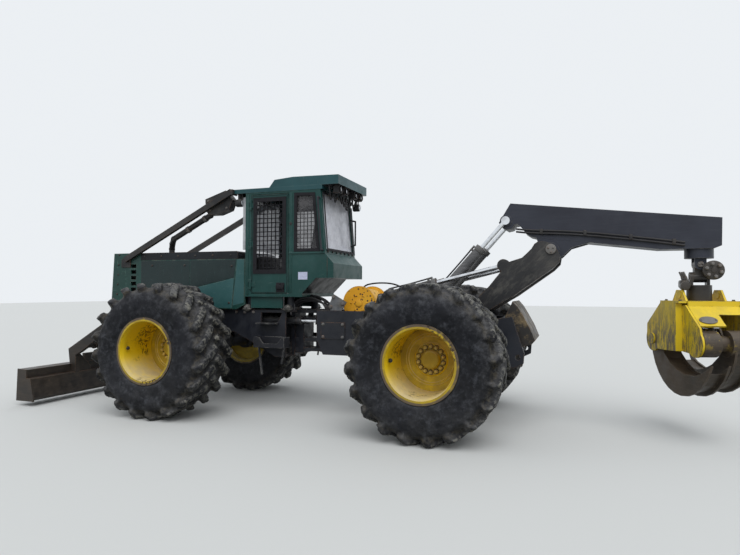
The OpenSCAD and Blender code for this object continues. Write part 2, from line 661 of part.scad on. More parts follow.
module winch() color("#d79a1d") machine() {
    c = [-650, 1452];
    disc(c, 0, 380, 500);
    both_sides() disc(c, 265, 460, 30);
    for (y = [-1, 1]) translate([-840, y * 200 - 30, 1150]) cube([420, 60, 160]);
    translate([-850 + seat_gap, -240, 1150]) cube([150, 480, 50]);
    // Bolted bracket plate on the frame's left side
    side_plate([[-262, 1400], [-335, 1571], [-527, 1464], [-455, frame_top + seat_gap], [-300, frame_top + seat_gap]],
        400, 16);
}

module butt_plate() color("#4a3527") machine() side_plate([[-2560 - seat_gap, 1240], [-2680, 1500], [-2740, 1430],
    [-2800, 1330], [-2880, 1180], [-2940, 1035], [-2900, 990], [-2790, 960], [-2560 - seat_gap, 1000]],
    -frame_half_w + 20, 2 * frame_half_w - 40);

module arch_leg() difference() {
    union() {
        side_plate([[-3041, 2218], [-2964, 2208], [-2932, 2186], [-2899, 2130], [-2843, 2074], [-2788, 2023],
            [-2665, 1985], [-2600, 1960], [-2540, 1859], [-2402, 1685], [-2263, 1540], [-1900, 1420], [-1560, 1448],
            [-1480, 1390], [-1490, 1300], [-1700, 1120], [-1850, 1080], [-2000, 1140], [-2449, 1417], [-2683, 1560],
            [-3137, 1888], [-3212, 1966], [-3225, 2040], [-3180, 2130], [-3116, 2190]], leg_in, leg_out - leg_in);
        disc(arch_pin, (leg_in + leg_out) / 2, 250, leg_out - leg_in);
        disc(arch_eye, (leg_in + leg_out) / 2, 150, leg_out - leg_in);
    }
    disc(arch_pin, arch_cyl_y, 90 + run_gap, 400);
    disc(boom_pin, arch_cyl_y, 80 + run_gap, 400);
    // Slot in which the arch cylinder's eye swings
    disc(arch_eye, arch_cyl_y, 200, eye_t + 2 * side_gap);
}

module arch() color("#26262a") machine() {
    both_sides() arch_leg();
    disc([-2300, 1440], 0, 130, 2 * leg_in + 10);
    disc(boom_base, 0, 60, 2 * leg_in + 10);
}

module arch_barrels() color("#3b3d40") machine() both_sides()
    aim(arch_base, arch_eye, arch_cyl_y) barrel(760, 110, 56, 50);

module arch_rods() color("#c8ccd0") machine() both_sides()
    aim(arch_base, arch_eye, arch_cyl_y) ram(690, norm(arch_eye - arch_base), 56, 50, eye_t);

module boom_barrels() color("#6f6e68") machine() both_sides()
    aim(boom_base, boom_eye, boom_cyl_y) barrel(1080, 124, 56, 60);

module boom_rods() color("#c8ccd0") machine() both_sides()
    aim(boom_base, boom_eye, boom_cyl_y) ram(600, norm(boom_eye - boom_base), 56, 60, eye_t);

module boom() color("#23242c") machine() {
    side_plate([[-2629, 2719], [-4935, 2455], [-4929, 2142], [-4856, 2111], [-4320, 2111], [-3574, 2204],
        [-2961, 2276], [-2870, 2300], [-2813, 2339], [-2768, 2412], [-2721, 2458], [-2675, 2451], [-2652, 2404],
        [-2582, 2388], [-2511, 2433], [-2487, 2482]], -boom_half_w, 2 * boom_half_w);
    // Pivot bracket under the boom
    both_sides() side_plate([[-3574, 2215], [-3350, 2150], [-3240, 2040], [-3120, 1995], [-3010, 2040],
        [-2935, 2300]], boom_half_w - 61, 60);
    disc(boom_pin, 0, 180, 2 * leg_in - 2 * side_gap);
    disc(boom_pin, 0, 80, 2 * leg_out + 20);
    both_sides() disc(boom_eye, boom_half_w + (boom_cyl_y - eye_t / 2 - side_gap - boom_half_w) / 2, 150,
        boom_cyl_y - eye_t / 2 - side_gap - boom_half_w);
    // Housing and ears that carry the grapple
    translate([boom_end_x, 0, 2005]) cylinder(h = 120, d = 300);
    both_sides() side_plate([[boom_end_x - 60, 2020], [boom_end_x + 60, 2020], [boom_end_x + 60, swing_z],
        [boom_end_x - 60, swing_z]], 68 + side_gap, 32);
    both_sides() disc([boom_end_x, swing_z], 68 + side_gap + 16, 120, 32);
    disc([boom_end_x, swing_z], 0, 50, 210);
}

module swing_link() color("#3a3532") machine() translate([boom_end_x, 0, 0]) difference() {
    union() {
        disc([0, swing_z], 0, 120, 136);
        translate([0, 0, tilt_z]) rotate([0, 90, 0]) cylinder(h = 136, d = 120, center = true);
        translate([-55, -55, tilt_z]) cube([110, 110, swing_z - tilt_z]);
    }
    disc([0, swing_z], 0, 50 + run_gap, 200);
    translate([0, 0, tilt_z]) rotate([0, 90, 0]) cylinder(h = 200, d = 50 + run_gap, center = true);
}

module rotator() color("#33302e") machine() translate([boom_end_x, 0, 0]) {
    for (s = [-1, 1]) {
        translate([s * (84 + side_gap) - 16, -60, 1650]) cube([32, 120, tilt_z - 1650]);
        translate([s * (84 + side_gap), 0, tilt_z]) rotate([0, 90, 0]) cylinder(h = 32, d = 120, center = true);
    }
    translate([0, 0, tilt_z]) rotate([0, 90, 0]) cylinder(h = 210, d = 50, center = true);
    translate([0, 0, head_top + seat_gap]) cylinder(h = 1700 - head_top - seat_gap, d = 260);
}

// The grapple's own frame: its tong pivots run along Y
module grapple() machine() translate([boom_end_x, 0, 0]) rotate([0, 0, grapple_turn - 90]) children();

module grapple_head() color("#e3c31d") grapple() {
    w = head_half_w;
    // Top plate with the two ears that stand beside the rotator
    translate([-w, -head_half_l, head_top - head_t]) cube([2 * w, 2 * head_half_l, head_t]);
    both_sides() {
        side_plate([[-140, head_top - 1], [140, head_top - 1], [60, head_top + 125], [-60, head_top + 125]], 208, head_t);
        disc([0, head_top + 70], 208 + head_t / 2, 96, head_t + 14);
    }
    for (turn = [0, 180]) rotate([0, 0, turn]) head_half();
}

// Half of the head: the outer end plate over the pivot at +X, the inner one over the pivot at -X, the strip
// between them, the sloping cover at -X and the pin at +X
module head_half() {
    w = head_half_w;
    top = head_top - head_t - seat_gap;
    y1 = head_half_l - head_t;
    y0 = y1 - 75;
    difference() {
        union() {
            side_plate([[-140, 955], [-140, top], [w, top], [tong_reach + 130, 1235], [tong_reach + 140, tong_pin_z],
                [tong_reach, tong_pin_z - 120], [120, 945]], y1, head_t);
            disc([tong_reach, tong_pin_z], y1 + head_t / 2, 300, head_t);
        }
        disc([tong_reach, tong_pin_z], y1, 80 + run_gap, 200);
    }
    difference() {
        union() {
            side_plate([[-115, 955], [-115, top - 24], [-w, top - 20], [-tong_reach - 90, 1235],
                [-tong_reach - 140, tong_pin_z], [-tong_reach, tong_pin_z - 120]], y0, head_t);
            disc([-tong_reach, tong_pin_z], y0 + head_t / 2, 300, head_t);
        }
        disc([-tong_reach, tong_pin_z], y0, 80 + run_gap, 200);
    }
    translate([-140, y0 + head_t + seat_gap, 955]) cube([head_t, y1 - y0 - head_t - 2 * seat_gap, top - 955]);
    // Sloping cover, cut away where the tong beside it opens
    difference() {
        side_plate([[-w - seat_gap, head_top], [-w - 20, head_top], [-w - 20, 1462], [-450, 1256], [-436, 1240],
            [-w - seat_gap, 1450]], -y1 + seat_gap, y1 + y0 - 2 * seat_gap);
        translate([-600, -y1 - 10, 1100]) cube([600, y1 - 20, 270]);
    }
    // Pin of the tong, with its head outside the end plate
    disc([tong_reach, tong_pin_z], (y1 - y0) / 2 + 10, 80, y1 + y0 + 2 * head_t + 20);
    disc([tong_reach, tong_pin_z], y1 + head_t + seat_gap + 9, 130, 18);
}

// One tong, hinged at +X of the grapple and closing towards -X, in the half where Y is positive
module tong() {
    edge = head_half_l - head_t - 10;
    inner = head_half_l - head_t - 85;
    p = [tong_reach, tong_pin_z];
    difference() {
        union() {
            // Sleeve, slimmer in the middle where the cylinder's eye swings past
            disc(p, (edge + 60) / 2, 2 * hub_r, edge - 60);
            disc(p, -(inner + 60) / 2, 2 * hub_r, inner - 60);
            disc(p, 0, 170, 122);
            // Two side plates with a recessed plate between them
            for (y = [edge - 15 - 25, edge - 15 - tong_w]) side_plate(tong_outline(0), y, 25);
            side_plate(tong_outline(40), edge - 15 - tong_w + 24, tong_w - 48);
            // Lugs for the cylinder that works the tongs
            for (s = [-1, 1]) {
                y = s * (eye_t / 2 + side_gap + 10);
                disc(tong_lug, y, 84, 20);
                flat_bar(tong_lug, p, y, 60, 20);
            }
        }
        disc(p, 0, 80 + run_gap, 1000);
    }
}

// Outline of a tong in side view, or of its recessed middle, which stops short of the tip
function tong_outline(recess) = [[tong_reach + 100 - recess, tong_pin_z + 30],
    for (a = [-8 : -12 : -152 + recess / 3]) [-120 + (635 - recess) * cos(a), 1092 + (635 - recess) * sin(a)],
    if (recess == 0) [-713, 864],
    for (a = [-127 + recess / 5 : 13.6 : -45]) [-275 + (690 + recess / 2) * cos(a), 1393 + (690 + recess / 2) * sin(a)],
    [tong_reach - 100, tong_pin_z - 20]];

module tong_a() color("#5a4c3c") grapple() {
    tong();
    disc(tong_lug, 0, 40, 110);
}

module tong_b() color("#5a4c3c") grapple() rotate([0, 0, 180]) tong();

module tong_barrel() color("#2a2b30") grapple() translate([tong_lug.x, 0, tong_lug.y]) rotate([0, -90, 0])
    barrel(310, 96, 50, 40);

module tong_rod() color("#c8ccd0") grapple() translate([tong_lug.x, 0, tong_lug.y]) rotate([0, -90, 0])
    ram(278, 2 * tong_lug.x, 50, 40, eye_t);

front_frame();
front_axle();
engine();
hood();
hood_top();
exhaust();
limb_risers();
cab();
cab_roof();
cab_glass();
cab_screens();
operator_seat();
steps();
lamps();
handrails();
door_left();
door_right();
blade();
blade_barrels();
blade_rods();
rear_frame();
rear_axle();
winch();
butt_plate();
arch();
arch_barrels();
arch_rods();
boom();
boom_barrels();
boom_rods();
swing_link();
rotator();
grapple_head();
tong_a();
tong_b();
tong_barrel();
tong_rod();
tyre(axle_reach, 1);  // tyre_front_left
tyre(axle_reach, -1);  // tyre_front_right
tyre(-axle_reach, 1);  // tyre_rear_left
tyre(-axle_reach, -1);  // tyre_rear_right
rim(axle_reach, 1);  // rim_front_left
rim(axle_reach, -1);  // rim_front_right
rim(-axle_reach, 1);  // rim_rear_left
rim(-axle_reach, -1);  // rim_rear_right
steer_barrel(1);  // steer_barrel_left
steer_rod(1);  // steer_rod_left
steer_barrel(-1);  // steer_barrel_right
steer_rod(-1);  // steer_rod_right
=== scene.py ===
import math
import random

import bmesh
import bpy
from mathutils import Euler, Matrix, Vector


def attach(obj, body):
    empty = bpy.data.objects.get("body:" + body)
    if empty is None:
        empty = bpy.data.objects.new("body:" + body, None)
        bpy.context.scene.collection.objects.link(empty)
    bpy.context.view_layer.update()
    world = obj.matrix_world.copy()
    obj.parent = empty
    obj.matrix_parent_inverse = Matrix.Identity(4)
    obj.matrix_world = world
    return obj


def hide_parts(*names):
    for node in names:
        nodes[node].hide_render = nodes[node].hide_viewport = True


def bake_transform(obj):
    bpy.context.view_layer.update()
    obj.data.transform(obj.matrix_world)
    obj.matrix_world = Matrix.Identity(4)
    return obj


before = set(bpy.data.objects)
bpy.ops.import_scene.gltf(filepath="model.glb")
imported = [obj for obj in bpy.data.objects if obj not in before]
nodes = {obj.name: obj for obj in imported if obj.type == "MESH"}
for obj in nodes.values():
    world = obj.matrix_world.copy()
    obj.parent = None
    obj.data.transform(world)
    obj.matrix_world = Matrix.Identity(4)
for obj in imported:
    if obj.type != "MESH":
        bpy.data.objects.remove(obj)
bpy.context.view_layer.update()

# Viewpoint: a wide lens held at a standing person's height, on the machine's left and a little behind
# its middle, turned a fifth of a right angle towards the front.


def placed(name, data):
    """A new object that holds this data, linked to the scene."""
    made = bpy.data.objects.new(name, data)
    bpy.context.scene.collection.objects.link(made)
    return made


eye_place = Vector((-2.8325, 7.4561, 1.6788))
turn_to_front = 0.3445
tilt_up = 0.0226
lean = 0.0042
level_view = Vector((math.sin(turn_to_front), -math.cos(turn_to_front), 0))
look = (level_view * math.cos(tilt_up) + Vector((0, 0, math.sin(tilt_up)))).normalized()
side = level_view.cross(Vector((0, 0, 1)))
above = side.cross(look)
camera = placed("camera", bpy.data.cameras.new("camera"))
camera.data.lens = 27.75
camera.data.sensor_width = 36
camera.data.clip_end = 200
right = side * math.cos(lean) + above * math.sin(lean)
upright = above * math.cos(lean) - side * math.sin(lean)
camera.matrix_world = Matrix.Translation(eye_place) @ Matrix((right, upright, -look)).transposed().to_4x4()
bpy.context.scene.camera = camera

# Studio: a pale floor that runs far out, a pale sky and one broad, soft lamp overhead, as on a dull day.
# What the floor throws back up at the machine is dark, as from turf.


def shader(name):
    """A new material, its node tree and its surface shader."""
    material = bpy.data.materials.new(name)
    material.use_nodes = True
    return material, material.node_tree, material.node_tree.nodes["Principled BSDF"]


def fill(node, values):
    """Fills a node's sockets with numbers or with other nodes' outputs."""
    for key, value in values.items():
        if isinstance(value, bpy.types.NodeSocket):
            node.id_data.links.new(value, node.inputs[key])
        else:
            node.inputs[key].default_value = value


def add(tree, kind, values=None, **settings):
    """A new node of that kind, with its settings made and its sockets filled."""
    made = tree.nodes.new("ShaderNode" + kind)
    for key, value in settings.items():
        setattr(made, key, value)
    fill(made, values or {})
    return made


def highest(first, second):
    """The larger of two values. Like all that take a socket first, it builds in that socket's own tree."""
    return add(first.id_data, "Math", {0: first, 1: second}, operation="MAXIMUM").outputs[0]


def seen_share(tree):
    """1 for what the camera sees, straight or in metal and glass, and 0 for light that bounces."""
    path = add(tree, "LightPath").outputs
    return highest(highest(path["Is Camera Ray"], path["Is Glossy Ray"]), path["Is Transmission Ray"])


def blend_of(share, first, second):
    """Two colours mixed by a share: 0 gives the first and 1 the second."""
    return add(share.id_data, "Mix", {0: share, 6: first, 7: second}, data_type="RGBA").outputs[2]


def data_of(name, mesh):
    """Mesh data from a mesh that was being edited, which is freed."""
    data = bpy.data.meshes.new(name)
    mesh.to_mesh(data)
    mesh.free()
    return data


floor_half = 60
floor_mesh = bmesh.new()
bmesh.ops.create_grid(floor_mesh, x_segments=1, y_segments=1, size=floor_half)
floor = placed("studio_floor", data_of("studio_floor", floor_mesh))
pale, tree, skin = shader("floor_pale")
fill(skin, {"Base Color": blend_of(seen_share(tree), (0.09, 0.095, 0.07, 1), (0.62, 0.63, 0.62, 1)),
            "Roughness": 0.9})
floor.data.materials.append(pale)

world = bpy.data.worlds.new("dull_sky")
bpy.context.scene.world = world
world.use_nodes = True
tree = world.node_tree
strength = add(tree, "MapRange", {"Value": seen_share(tree), "To Min": 0.72, "To Max": 0.9})
fill(tree.nodes["Background"], {"Color": (0.93, 0.965, 1.0, 1), "Strength": strength.outputs[0]})
lamp = placed("overhead_lamp", bpy.data.lights.new("overhead_lamp", "SUN"))
lamp.data.energy = 1.5
lamp.data.angle = math.radians(50)
lamp.rotation_euler = Euler((math.radians(-32), math.radians(-18), 0))
bpy.context.scene.view_settings.view_transform = "Standard"

# Chassis: both halves of the frame, the axles and the handrails are welded steel under black paint,
# dulled by dust on top and mud low down, and worn to brown steel along the edges.


def object_spot(tree):
    """Where on its object a point of the surface lies."""
    return add(tree, "TexCoord").outputs["Object"]


def noise(spot, scale, detail=5.0, rough=0.6):
    """Soft noise between 0 and 1."""
    values = {"Vector": spot, "Scale": scale, "Detail": detail, "Roughness": rough}
    return add(spot.id_data, "TexNoise", values).outputs[0]


def ranged(value, low, high, start=0.0, end=1.0):
    """A value taken smoothly from one range to another and held at its ends."""
    values = {"Value": value, "From Min": low, "From Max": high, "To Min": start, "To Max": end}
    return add(value.id_data, "MapRange", values, interpolation_type="SMOOTHSTEP").outputs[0]


def times(first, second):
    """The product of two values."""
    return add(first.id_data, "Math", {0: first, 1: second}, operation="MULTIPLY").outputs[0]


def absolute(value):
    """A value without its sign."""
    return add(value.id_data, "Math", {0: value}, operation="ABSOLUTE").outputs[0]


def normal_at(spot):
    """Which way the surface faces."""
    return add(spot.id_data, "NewGeometry").outputs["Normal"]


def part_of(vector, axis):
    """A vector's part along one axis: 0 for X, 1 for Y and 2 for Z."""
    return add(vector.id_data, "SeparateXYZ", {0: vector}).outputs[axis]


def dot_of(first, second):
    """How far two vectors point the same way."""
    return add(first.id_data, "VectorMath", {0: first, 1: second}, operation="DOT_PRODUCT").outputs["Value"]


def edge_share(spot, width):
    """How near a point is to a sharp edge, broken up so that the wear comes and goes."""
    round_over = add(spot.id_data, "Bevel", {"Radius": width}, samples=6).outputs[0]
    near = ranged(dot_of(round_over, normal_at(spot)), 0.995, 0.86)
    return times(near, ranged(noise(spot, 9.0, 6.0, 0.7), 0.42, 0.6))


def painted(name, tone, faded, dust=(0.2, 0.18, 0.15), dusty=0.5, bare=(0.13, 0.07, 0.04), wear=0.8,
            gloss=(0.35, 0.7), patches=0.0, extra=None, shine=0.4):
    """Paint in two tones with dust on what faces up, mud low down and bare metal on the edges."""
    material, tree, skin = shader(name)
    spot = object_spot(tree)
    colour = blend_of(ranged(noise(spot, 1.4, 3.0), 0.35, 0.68), (*tone, 1), (*faded, 1))
    grain = noise(spot, 7.0, 8.0, 0.68)
    if extra:
        colour = extra(spot, colour, grain)
    top = ranged(part_of(normal_at(spot), 2), 0.1, 0.95)
    low = ranged(part_of(spot, 2), 1.1, 0.1, 0.0, 0.6)
    settled = times(highest(top, low), ranged(grain, 0.34, 0.66))
    streaks = times(ranged(noise(spot, 3.1, 7.0, 0.72), 0.52, 0.72), 0.35)
    grimy = times(highest(settled, streaks), dusty)
    colour = blend_of(grimy, colour, (*dust, 1))
    worn = times(edge_share(spot, 0.014), wear)
    if patches:
        blotch = ranged(noise(spot, 4.3, 9.0, 0.75), 0.64 - 0.1 * patches, 0.7)
        worn = highest(worn, times(blotch, patches))
    rough = ranged(grain, 0.3, 0.7, *gloss)
    rounded = add(tree, "Bevel", {"Radius": 0.006}, samples=4).outputs[0]
    relief = add(tree, "Bump", {"Strength": 0.25, "Distance": 0.004, "Height": grain, "Normal": rounded})
    fill(skin, {"Base Color": blend_of(worn, colour, (*bare, 1)),
                "Roughness": highest(rough, times(highest(grimy, worn), 0.85)),
                "Specular IOR Level": shine, "Normal": relief.outputs[0]})
    return material


def dress(material, *names):
    """Gives the named CAD nodes this one material."""
    for name in names:
        mesh = nodes[name].data
        mesh.materials.clear()
        mesh.materials.append(material)


# The black is tinted blue as painted sky reflection.
black_paint = painted("chassis_black", (0.008, 0.0095, 0.015), (0.02, 0.023, 0.032), dust=(0.11, 0.1, 0.09),
                      dusty=0.3)
dress(black_paint, "front_frame", "rear_frame", "front_axle", "rear_axle", "handrails")

# Bolts on the chassis: hexagon heads of galvanised or blackened steel on round washers. They are screwed
# through the side plates of both frames, in rows over the axles and near the pivot.
MM = 0.001
pivot_x, datum_drop = 550, 55


def at(x, y, z):
    """A place in metres from one in millimetres, which is measured from the foot of the articulation pivot."""
    return Vector(((x + pivot_x) * MM, y * MM, (z + datum_drop) * MM))


def ease(mesh, verts, width):
    """Rounds the sharp edges among these vertices."""
    edges = dict.fromkeys(edge for vert in verts for edge in vert.link_edges)
    sharp = [edge for edge in edges if len(edge.link_faces) == 2 and edge.calc_face_angle() > 0.7]
    bmesh.ops.bevel(mesh, geom=sharp, offset=width, offset_type="OFFSET", affect="EDGES", segments=2,
                    profile=0.5, material=-1, clamp_overlap=True)


def block(mesh, corner, opposite, soft=0.002):
    """Adds a box between two opposite corners, its edges eased."""
    size = [abs(reach) for reach in opposite - corner]
    place = Matrix.Translation((corner + opposite) / 2) @ Matrix.Diagonal((*size, 1))
    ease(mesh, bmesh.ops.create_cube(mesh, size=1, matrix=place)["verts"], soft)


def bar(mesh, start, end, radius, sides=24, soft=0.002):
    """Adds a solid round or many-sided bar between two places."""
    run = end - start
    place = Matrix.Translation((start + end) / 2) @ run.to_track_quat("Z", "Y").to_matrix().to_4x4()
    made = bmesh.ops.create_cone(mesh, cap_ends=True, segments=sides, radius1=radius, radius2=radius,
                                 depth=run.length, matrix=place)
    ease(mesh, made["verts"], soft)


def bolt(mesh, place, out, across=0.03, stand=0.016):
    """Adds a washer and a hexagon head that stand out of a face."""
    out = Vector(out).normalized()
    bar(mesh, place - out * 0.002, place + out * 0.004, across * 0.75, 16, 0.001)
    bar(mesh, place, place + out * stand, across * 0.577, 6, 0.0015)


def side_bolts(mesh, y, pairs, across=0.03, stand=0.016, flanks=(-1, 1)):
    """Adds bolts to the side faces that lie y off the middle plane, at pairs of x and z."""
    for flank in flanks:
        for x, z in pairs:
            bolt(mesh, at(x, flank * y, z), (0, flank, 0), across, stand)


def finished(name, mesh, material, body, smooth=True):
    """Makes a piece of a mesh: normals outwards, curved faces smooth, one finish, carried by a body."""
    bmesh.ops.recalc_face_normals(mesh, faces=mesh.faces)
    data = data_of(name, mesh)
    data.materials.append(material)
    if smooth:
        data.polygons.foreach_set("use_smooth", [True] * len(data.polygons))
        data.set_sharp_from_angle(angle=math.radians(32))
    made = placed(name, data)
    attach(made, body)
    return made


steel_bolts = painted("bolt_steel", (0.12, 0.12, 0.12), (0.2, 0.19, 0.18), dust=(0.12, 0.1, 0.08),
                      dusty=0.4, bare=(0.2, 0.1, 0.06), wear=0.6, patches=0.3)
black_bolts = painted("bolt_black", (0.015, 0.015, 0.018), (0.04, 0.038, 0.036), dusty=0.3, wear=0.5)

front_bolts, rear_bolts = bmesh.new(), bmesh.new()
frame_side = 450
side_bolts(rear_bolts, 463, [(x, z) for x in (-488, -208) for z in (1000, 1168)])
side_bolts(rear_bolts, frame_side, [(x, 1080) for x in (-1980, -1880, -1760, -1650)], 0.036, 0.02)
side_bolts(rear_bolts, 416, ((-336, 1530), (-470, 1440), (-300, 1400)), 0.034, 0.018, flanks=(1,))
side_bolts(front_bolts, frame_side, [(x, 1312) for x in (870, 1010, 1150)])
side_bolts(front_bolts, frame_side, [(x, z) for x in (1650, 1770, 1890, 2010) for z in (1090, 1180)],
           0.036, 0.02)
finished("front_frame_bolts", front_bolts, steel_bolts, "front_half")
finished("rear_frame_bolts", rear_bolts, steel_bolts, "rear_half")

# Steps: boxes of folded plate under the doors, hung on straps. Their black paint is rubbed pale along
# the edges by boots.
step_paint = painted("step_black", (0.012, 0.013, 0.018), (0.03, 0.031, 0.036), dust=(0.16, 0.15, 0.13),
                     dusty=0.4, bare=(0.3, 0.29, 0.27), wear=1.0)
dress(step_paint, "steps")

# Cab mounts: a round rubber block and a small steel plate at each corner of the cab's floor, clamped by
# one large bolt.
mounts = bmesh.new()
for flank in (-1, 1):
    for x in (318, 953):
        inner, outer, head = (at(x, flank * y, 1372) for y in (385, 500, 512))
        bar(mounts, inner, outer, 0.05, 32, 0.006)
        bar(mounts, outer, head, 0.036)
        bolt(mounts, head, (0, flank, 0), 0.04, 0.022)
        block(mounts, at(x - 62, flank * 452, 1350), at(x + 62, flank * 508, 1362))
mount_steel = painted("mount_steel", (0.03, 0.03, 0.03), (0.12, 0.12, 0.115), dusty=0.5, wear=1.0,
                      bare=(0.3, 0.28, 0.25), patches=0.3)
finished("cab_mounts", mounts, mount_steel, "front_half")

# Hood: sheet steel in dark green, scratched on the nose and chalky beside the cab. Its thin side panels
# are bolted on, and its top is black.


def stretched(spot, scale=(1, 1, 1), turn=(0, 0, 0)):
    """A place scaled and then turned, so that noise taken there runs in streaks."""
    return add(spot.id_data, "Mapping", {"Vector": spot, "Rotation": turn, "Scale": scale}).outputs[0]


def scratches(amount, tone):
    """Thin pale scratches that run up and along the sheet."""
    def laid(spot, colour, grain):
        runs = [stretched(spot, scale, (0.1, 0.35, 0)) for scale in ((9.0, 9.0, 0.8), (0.9, 9.0, 12.0))]
        up, level = (ranged(noise(run, 9.0, 4.0, 0.55), 0.66, 0.7, 0.0, amount) for run in runs)
        return blend_of(highest(up, level), colour, (*tone, 1))
    return laid


def cab_scratches_and_shade(spot, colour, grain):
    """Scratches, and painted shade: all that faces down is turned near black."""
    colour = scratches(0.25, (0.1, 0.16, 0.15))(spot, colour, grain)
    # Painted shade on every face that points down.
    down = ranged(part_of(normal_at(spot), 2), -0.3, -0.45)
    return blend_of(down, colour, (0.0015, 0.002, 0.003, 1))


# The cab, its doors and its roof carry painted shade: near black on all that faces down.
cab_green = painted("cab_green", (0.008, 0.05, 0.045), (0.016, 0.07, 0.064), dust=(0.1, 0.15, 0.16),
                    dusty=0.28, bare=(0.14, 0.2, 0.18), wear=0.45, gloss=(0.28, 0.5),
                    extra=cab_scratches_and_shade, shine=0.3)
nose_green = painted("nose_green", (0.006, 0.042, 0.034), (0.012, 0.06, 0.05), dust=(0.1, 0.15, 0.14),
                     dusty=0.3, bare=(0.2, 0.24, 0.2), wear=0.7, gloss=(0.28, 0.5),
                     extra=scratches(0.7, (0.12, 0.25, 0.2)))
panel_green = painted("panel_green", (0.003, 0.014, 0.015), (0.006, 0.022, 0.023), dust=(0.08, 0.11, 0.12),
                      dusty=0.22, bare=(0.1, 0.12, 0.11), wear=0.4, gloss=(0.25, 0.45),
                      extra=scratches(0.35, (0.05, 0.1, 0.1)))
pale_green = painted("pale_green", (0.02, 0.085, 0.085), (0.035, 0.11, 0.115), dust=(0.12, 0.19, 0.2),
                     dusty=0.4, bare=(0.16, 0.2, 0.19), wear=0.5, gloss=(0.4, 0.6),
                     extra=scratches(0.4, (0.14, 0.22, 0.22)))
hood_paint = painted("hood_black", (0.005, 0.0068, 0.009), (0.012, 0.015, 0.019), dust=(0.09, 0.1, 0.11),
                     dusty=0.2, gloss=(0.3, 0.5), extra=scratches(0.35, (0.08, 0.09, 0.09)), shine=0.25)
roof_green = painted("roof_green", (0.014, 0.068, 0.078), (0.026, 0.095, 0.108), dust=(0.12, 0.17, 0.19),
                     dusty=0.35, bare=(0.14, 0.2, 0.18), wear=0.45, gloss=(0.28, 0.5),
                     extra=cab_scratches_and_shade, shine=0.35)
dress(nose_green, "hood")
dress(roof_green, "cab_roof")
dress(cab_green, "cab", "door_left", "door_right")
dress(hood_paint, "hood_top")
hood_panels = (("middle_panel", panel_green, ((2768, 1364), (2768, 2052), (1890, 2052), (1890, 1364))),
               ("upper_panel", panel_green, ((1882, 1640), (1882, 2052), (1110, 2052), (1140, 1800))),
               ("lower_panel", pale_green, ((1882, 1364), (1882, 1632), (1142, 1792), (1176, 1364))),
               ("cowl_panel", pale_green, ((1160, 1400), (1093, 2052), (978, 2052), (978, 1440))))


def side_name(flank):
    """The machine's left is towards larger y."""
    return "left" if flank > 0 else "right"


def thicken(mesh, faces, depth):
    """Pulls flat faces out by a vector and gives the vertices at the far end."""
    up = bmesh.ops.extrude_face_region(mesh, geom=faces)["geom"]
    raised = [item for item in up if isinstance(item, bmesh.types.BMVert)]
    bmesh.ops.translate(mesh, verts=raised, vec=depth)
    return raised


def plate_of(mesh, outline, flank, inner, thickness, soft=0.0015):
    """Adds a plate whose outline lies in side view, from inner outwards on one flank."""
    y = min(flank * inner, flank * (inner + thickness))
    verts = [mesh.verts.new(at(x, y, z)) for x, z in outline]
    raised = thicken(mesh, [mesh.faces.new(verts)], (0, thickness * MM, 0))
    ease(mesh, verts + raised, soft)


hood_side, panel_gauge = 530, 3
for flank in (-1, 1):
    for title, finish, outline in hood_panels:
        mesh = bmesh.new()
        plate_of(mesh, outline, flank, hood_side, panel_gauge)
        finished(f"hood_{title}_{side_name(flank)}", mesh, finish, "front_half", False)
hood_bolts = bmesh.new()
panel_bolts = ((1500, 1500), (2560, 1440), (2560, 1980), (1980, 1440), (1980, 1980), (1220, 1440),
               (1180, 1960))
side_bolts(hood_bolts, hood_side + panel_gauge, panel_bolts, 0.022, 0.012)
side_bolts(hood_bolts, hood_side, [(3230 - (z - 1400) * 0.055, z) for z in range(1400, 2160, 150)], 0.02, 0.01)
side_bolts(hood_bolts, hood_side, [(x, 2116) for x in range(1200, 2760, 300)], 0.02, 0.01)
finished("hood_bolts", hood_bolts, black_bolts, "front_half")

# Risers and exhaust: box bars and a rolled pipe, sooty and rubbed bright brown by branches. Steel clamps
# hold the pipe, and bolts hold the bars' plates.
riser_paint = painted("riser_black", (0.012, 0.012, 0.014), (0.045, 0.042, 0.04), dusty=0.5, wear=1.0,
                      patches=0.35)
dress(riser_paint, "limb_risers", "exhaust", "engine")
clamps = bmesh.new()
bar(clamps, at(1990, 462, 2498), at(1950, 462, 2518), 0.05, 32)
bar(clamps, at(1700, 462, 2646), at(1660, 462, 2666), 0.05, 32)
side_bolts(clamps, 512, ((1970, 2508), (1680, 2656)), 0.02, 0.014, flanks=(1,))
side_bolts(clamps, 524, ((1280, 2790), (1560, 2760), (1250, 2960), (1590, 2900)), 0.024, 0.012, flanks=(1,))
finished("exhaust_clamps", clamps, steel_bolts, "front_half")

# Cab openings: black rubber gaskets pressed round the panes, a seam round each door, and wire mesh over
# the door's pane.
rubber, tree, skin = shader("gasket_rubber")
spot = object_spot(tree)
fill(skin, {"Base Color": blend_of(noise(spot, 12.0), (0.004, 0.004, 0.006, 1), (0.018, 0.017, 0.021, 1)),
            "Roughness": ranged(noise(spot, 30.0), 0.3, 0.7, 0.5, 0.8), "Specular IOR Level": 0.25})


def ring_of(mesh, corners, width, depth):
    """Adds a flat frame inside a loop of corners, given in millimetres, with thickness along its face."""
    face = mesh.faces.new([mesh.verts.new(at(*corner)) for corner in corners])
    face.normal_update()
    bmesh.ops.inset_individual(mesh, faces=[face], thickness=width, use_even_offset=True)
    rim = [other for edge in face.edges for other in edge.link_faces if other is not face]
    mesh.faces.remove(face)
    thicken(mesh, rim, depth)


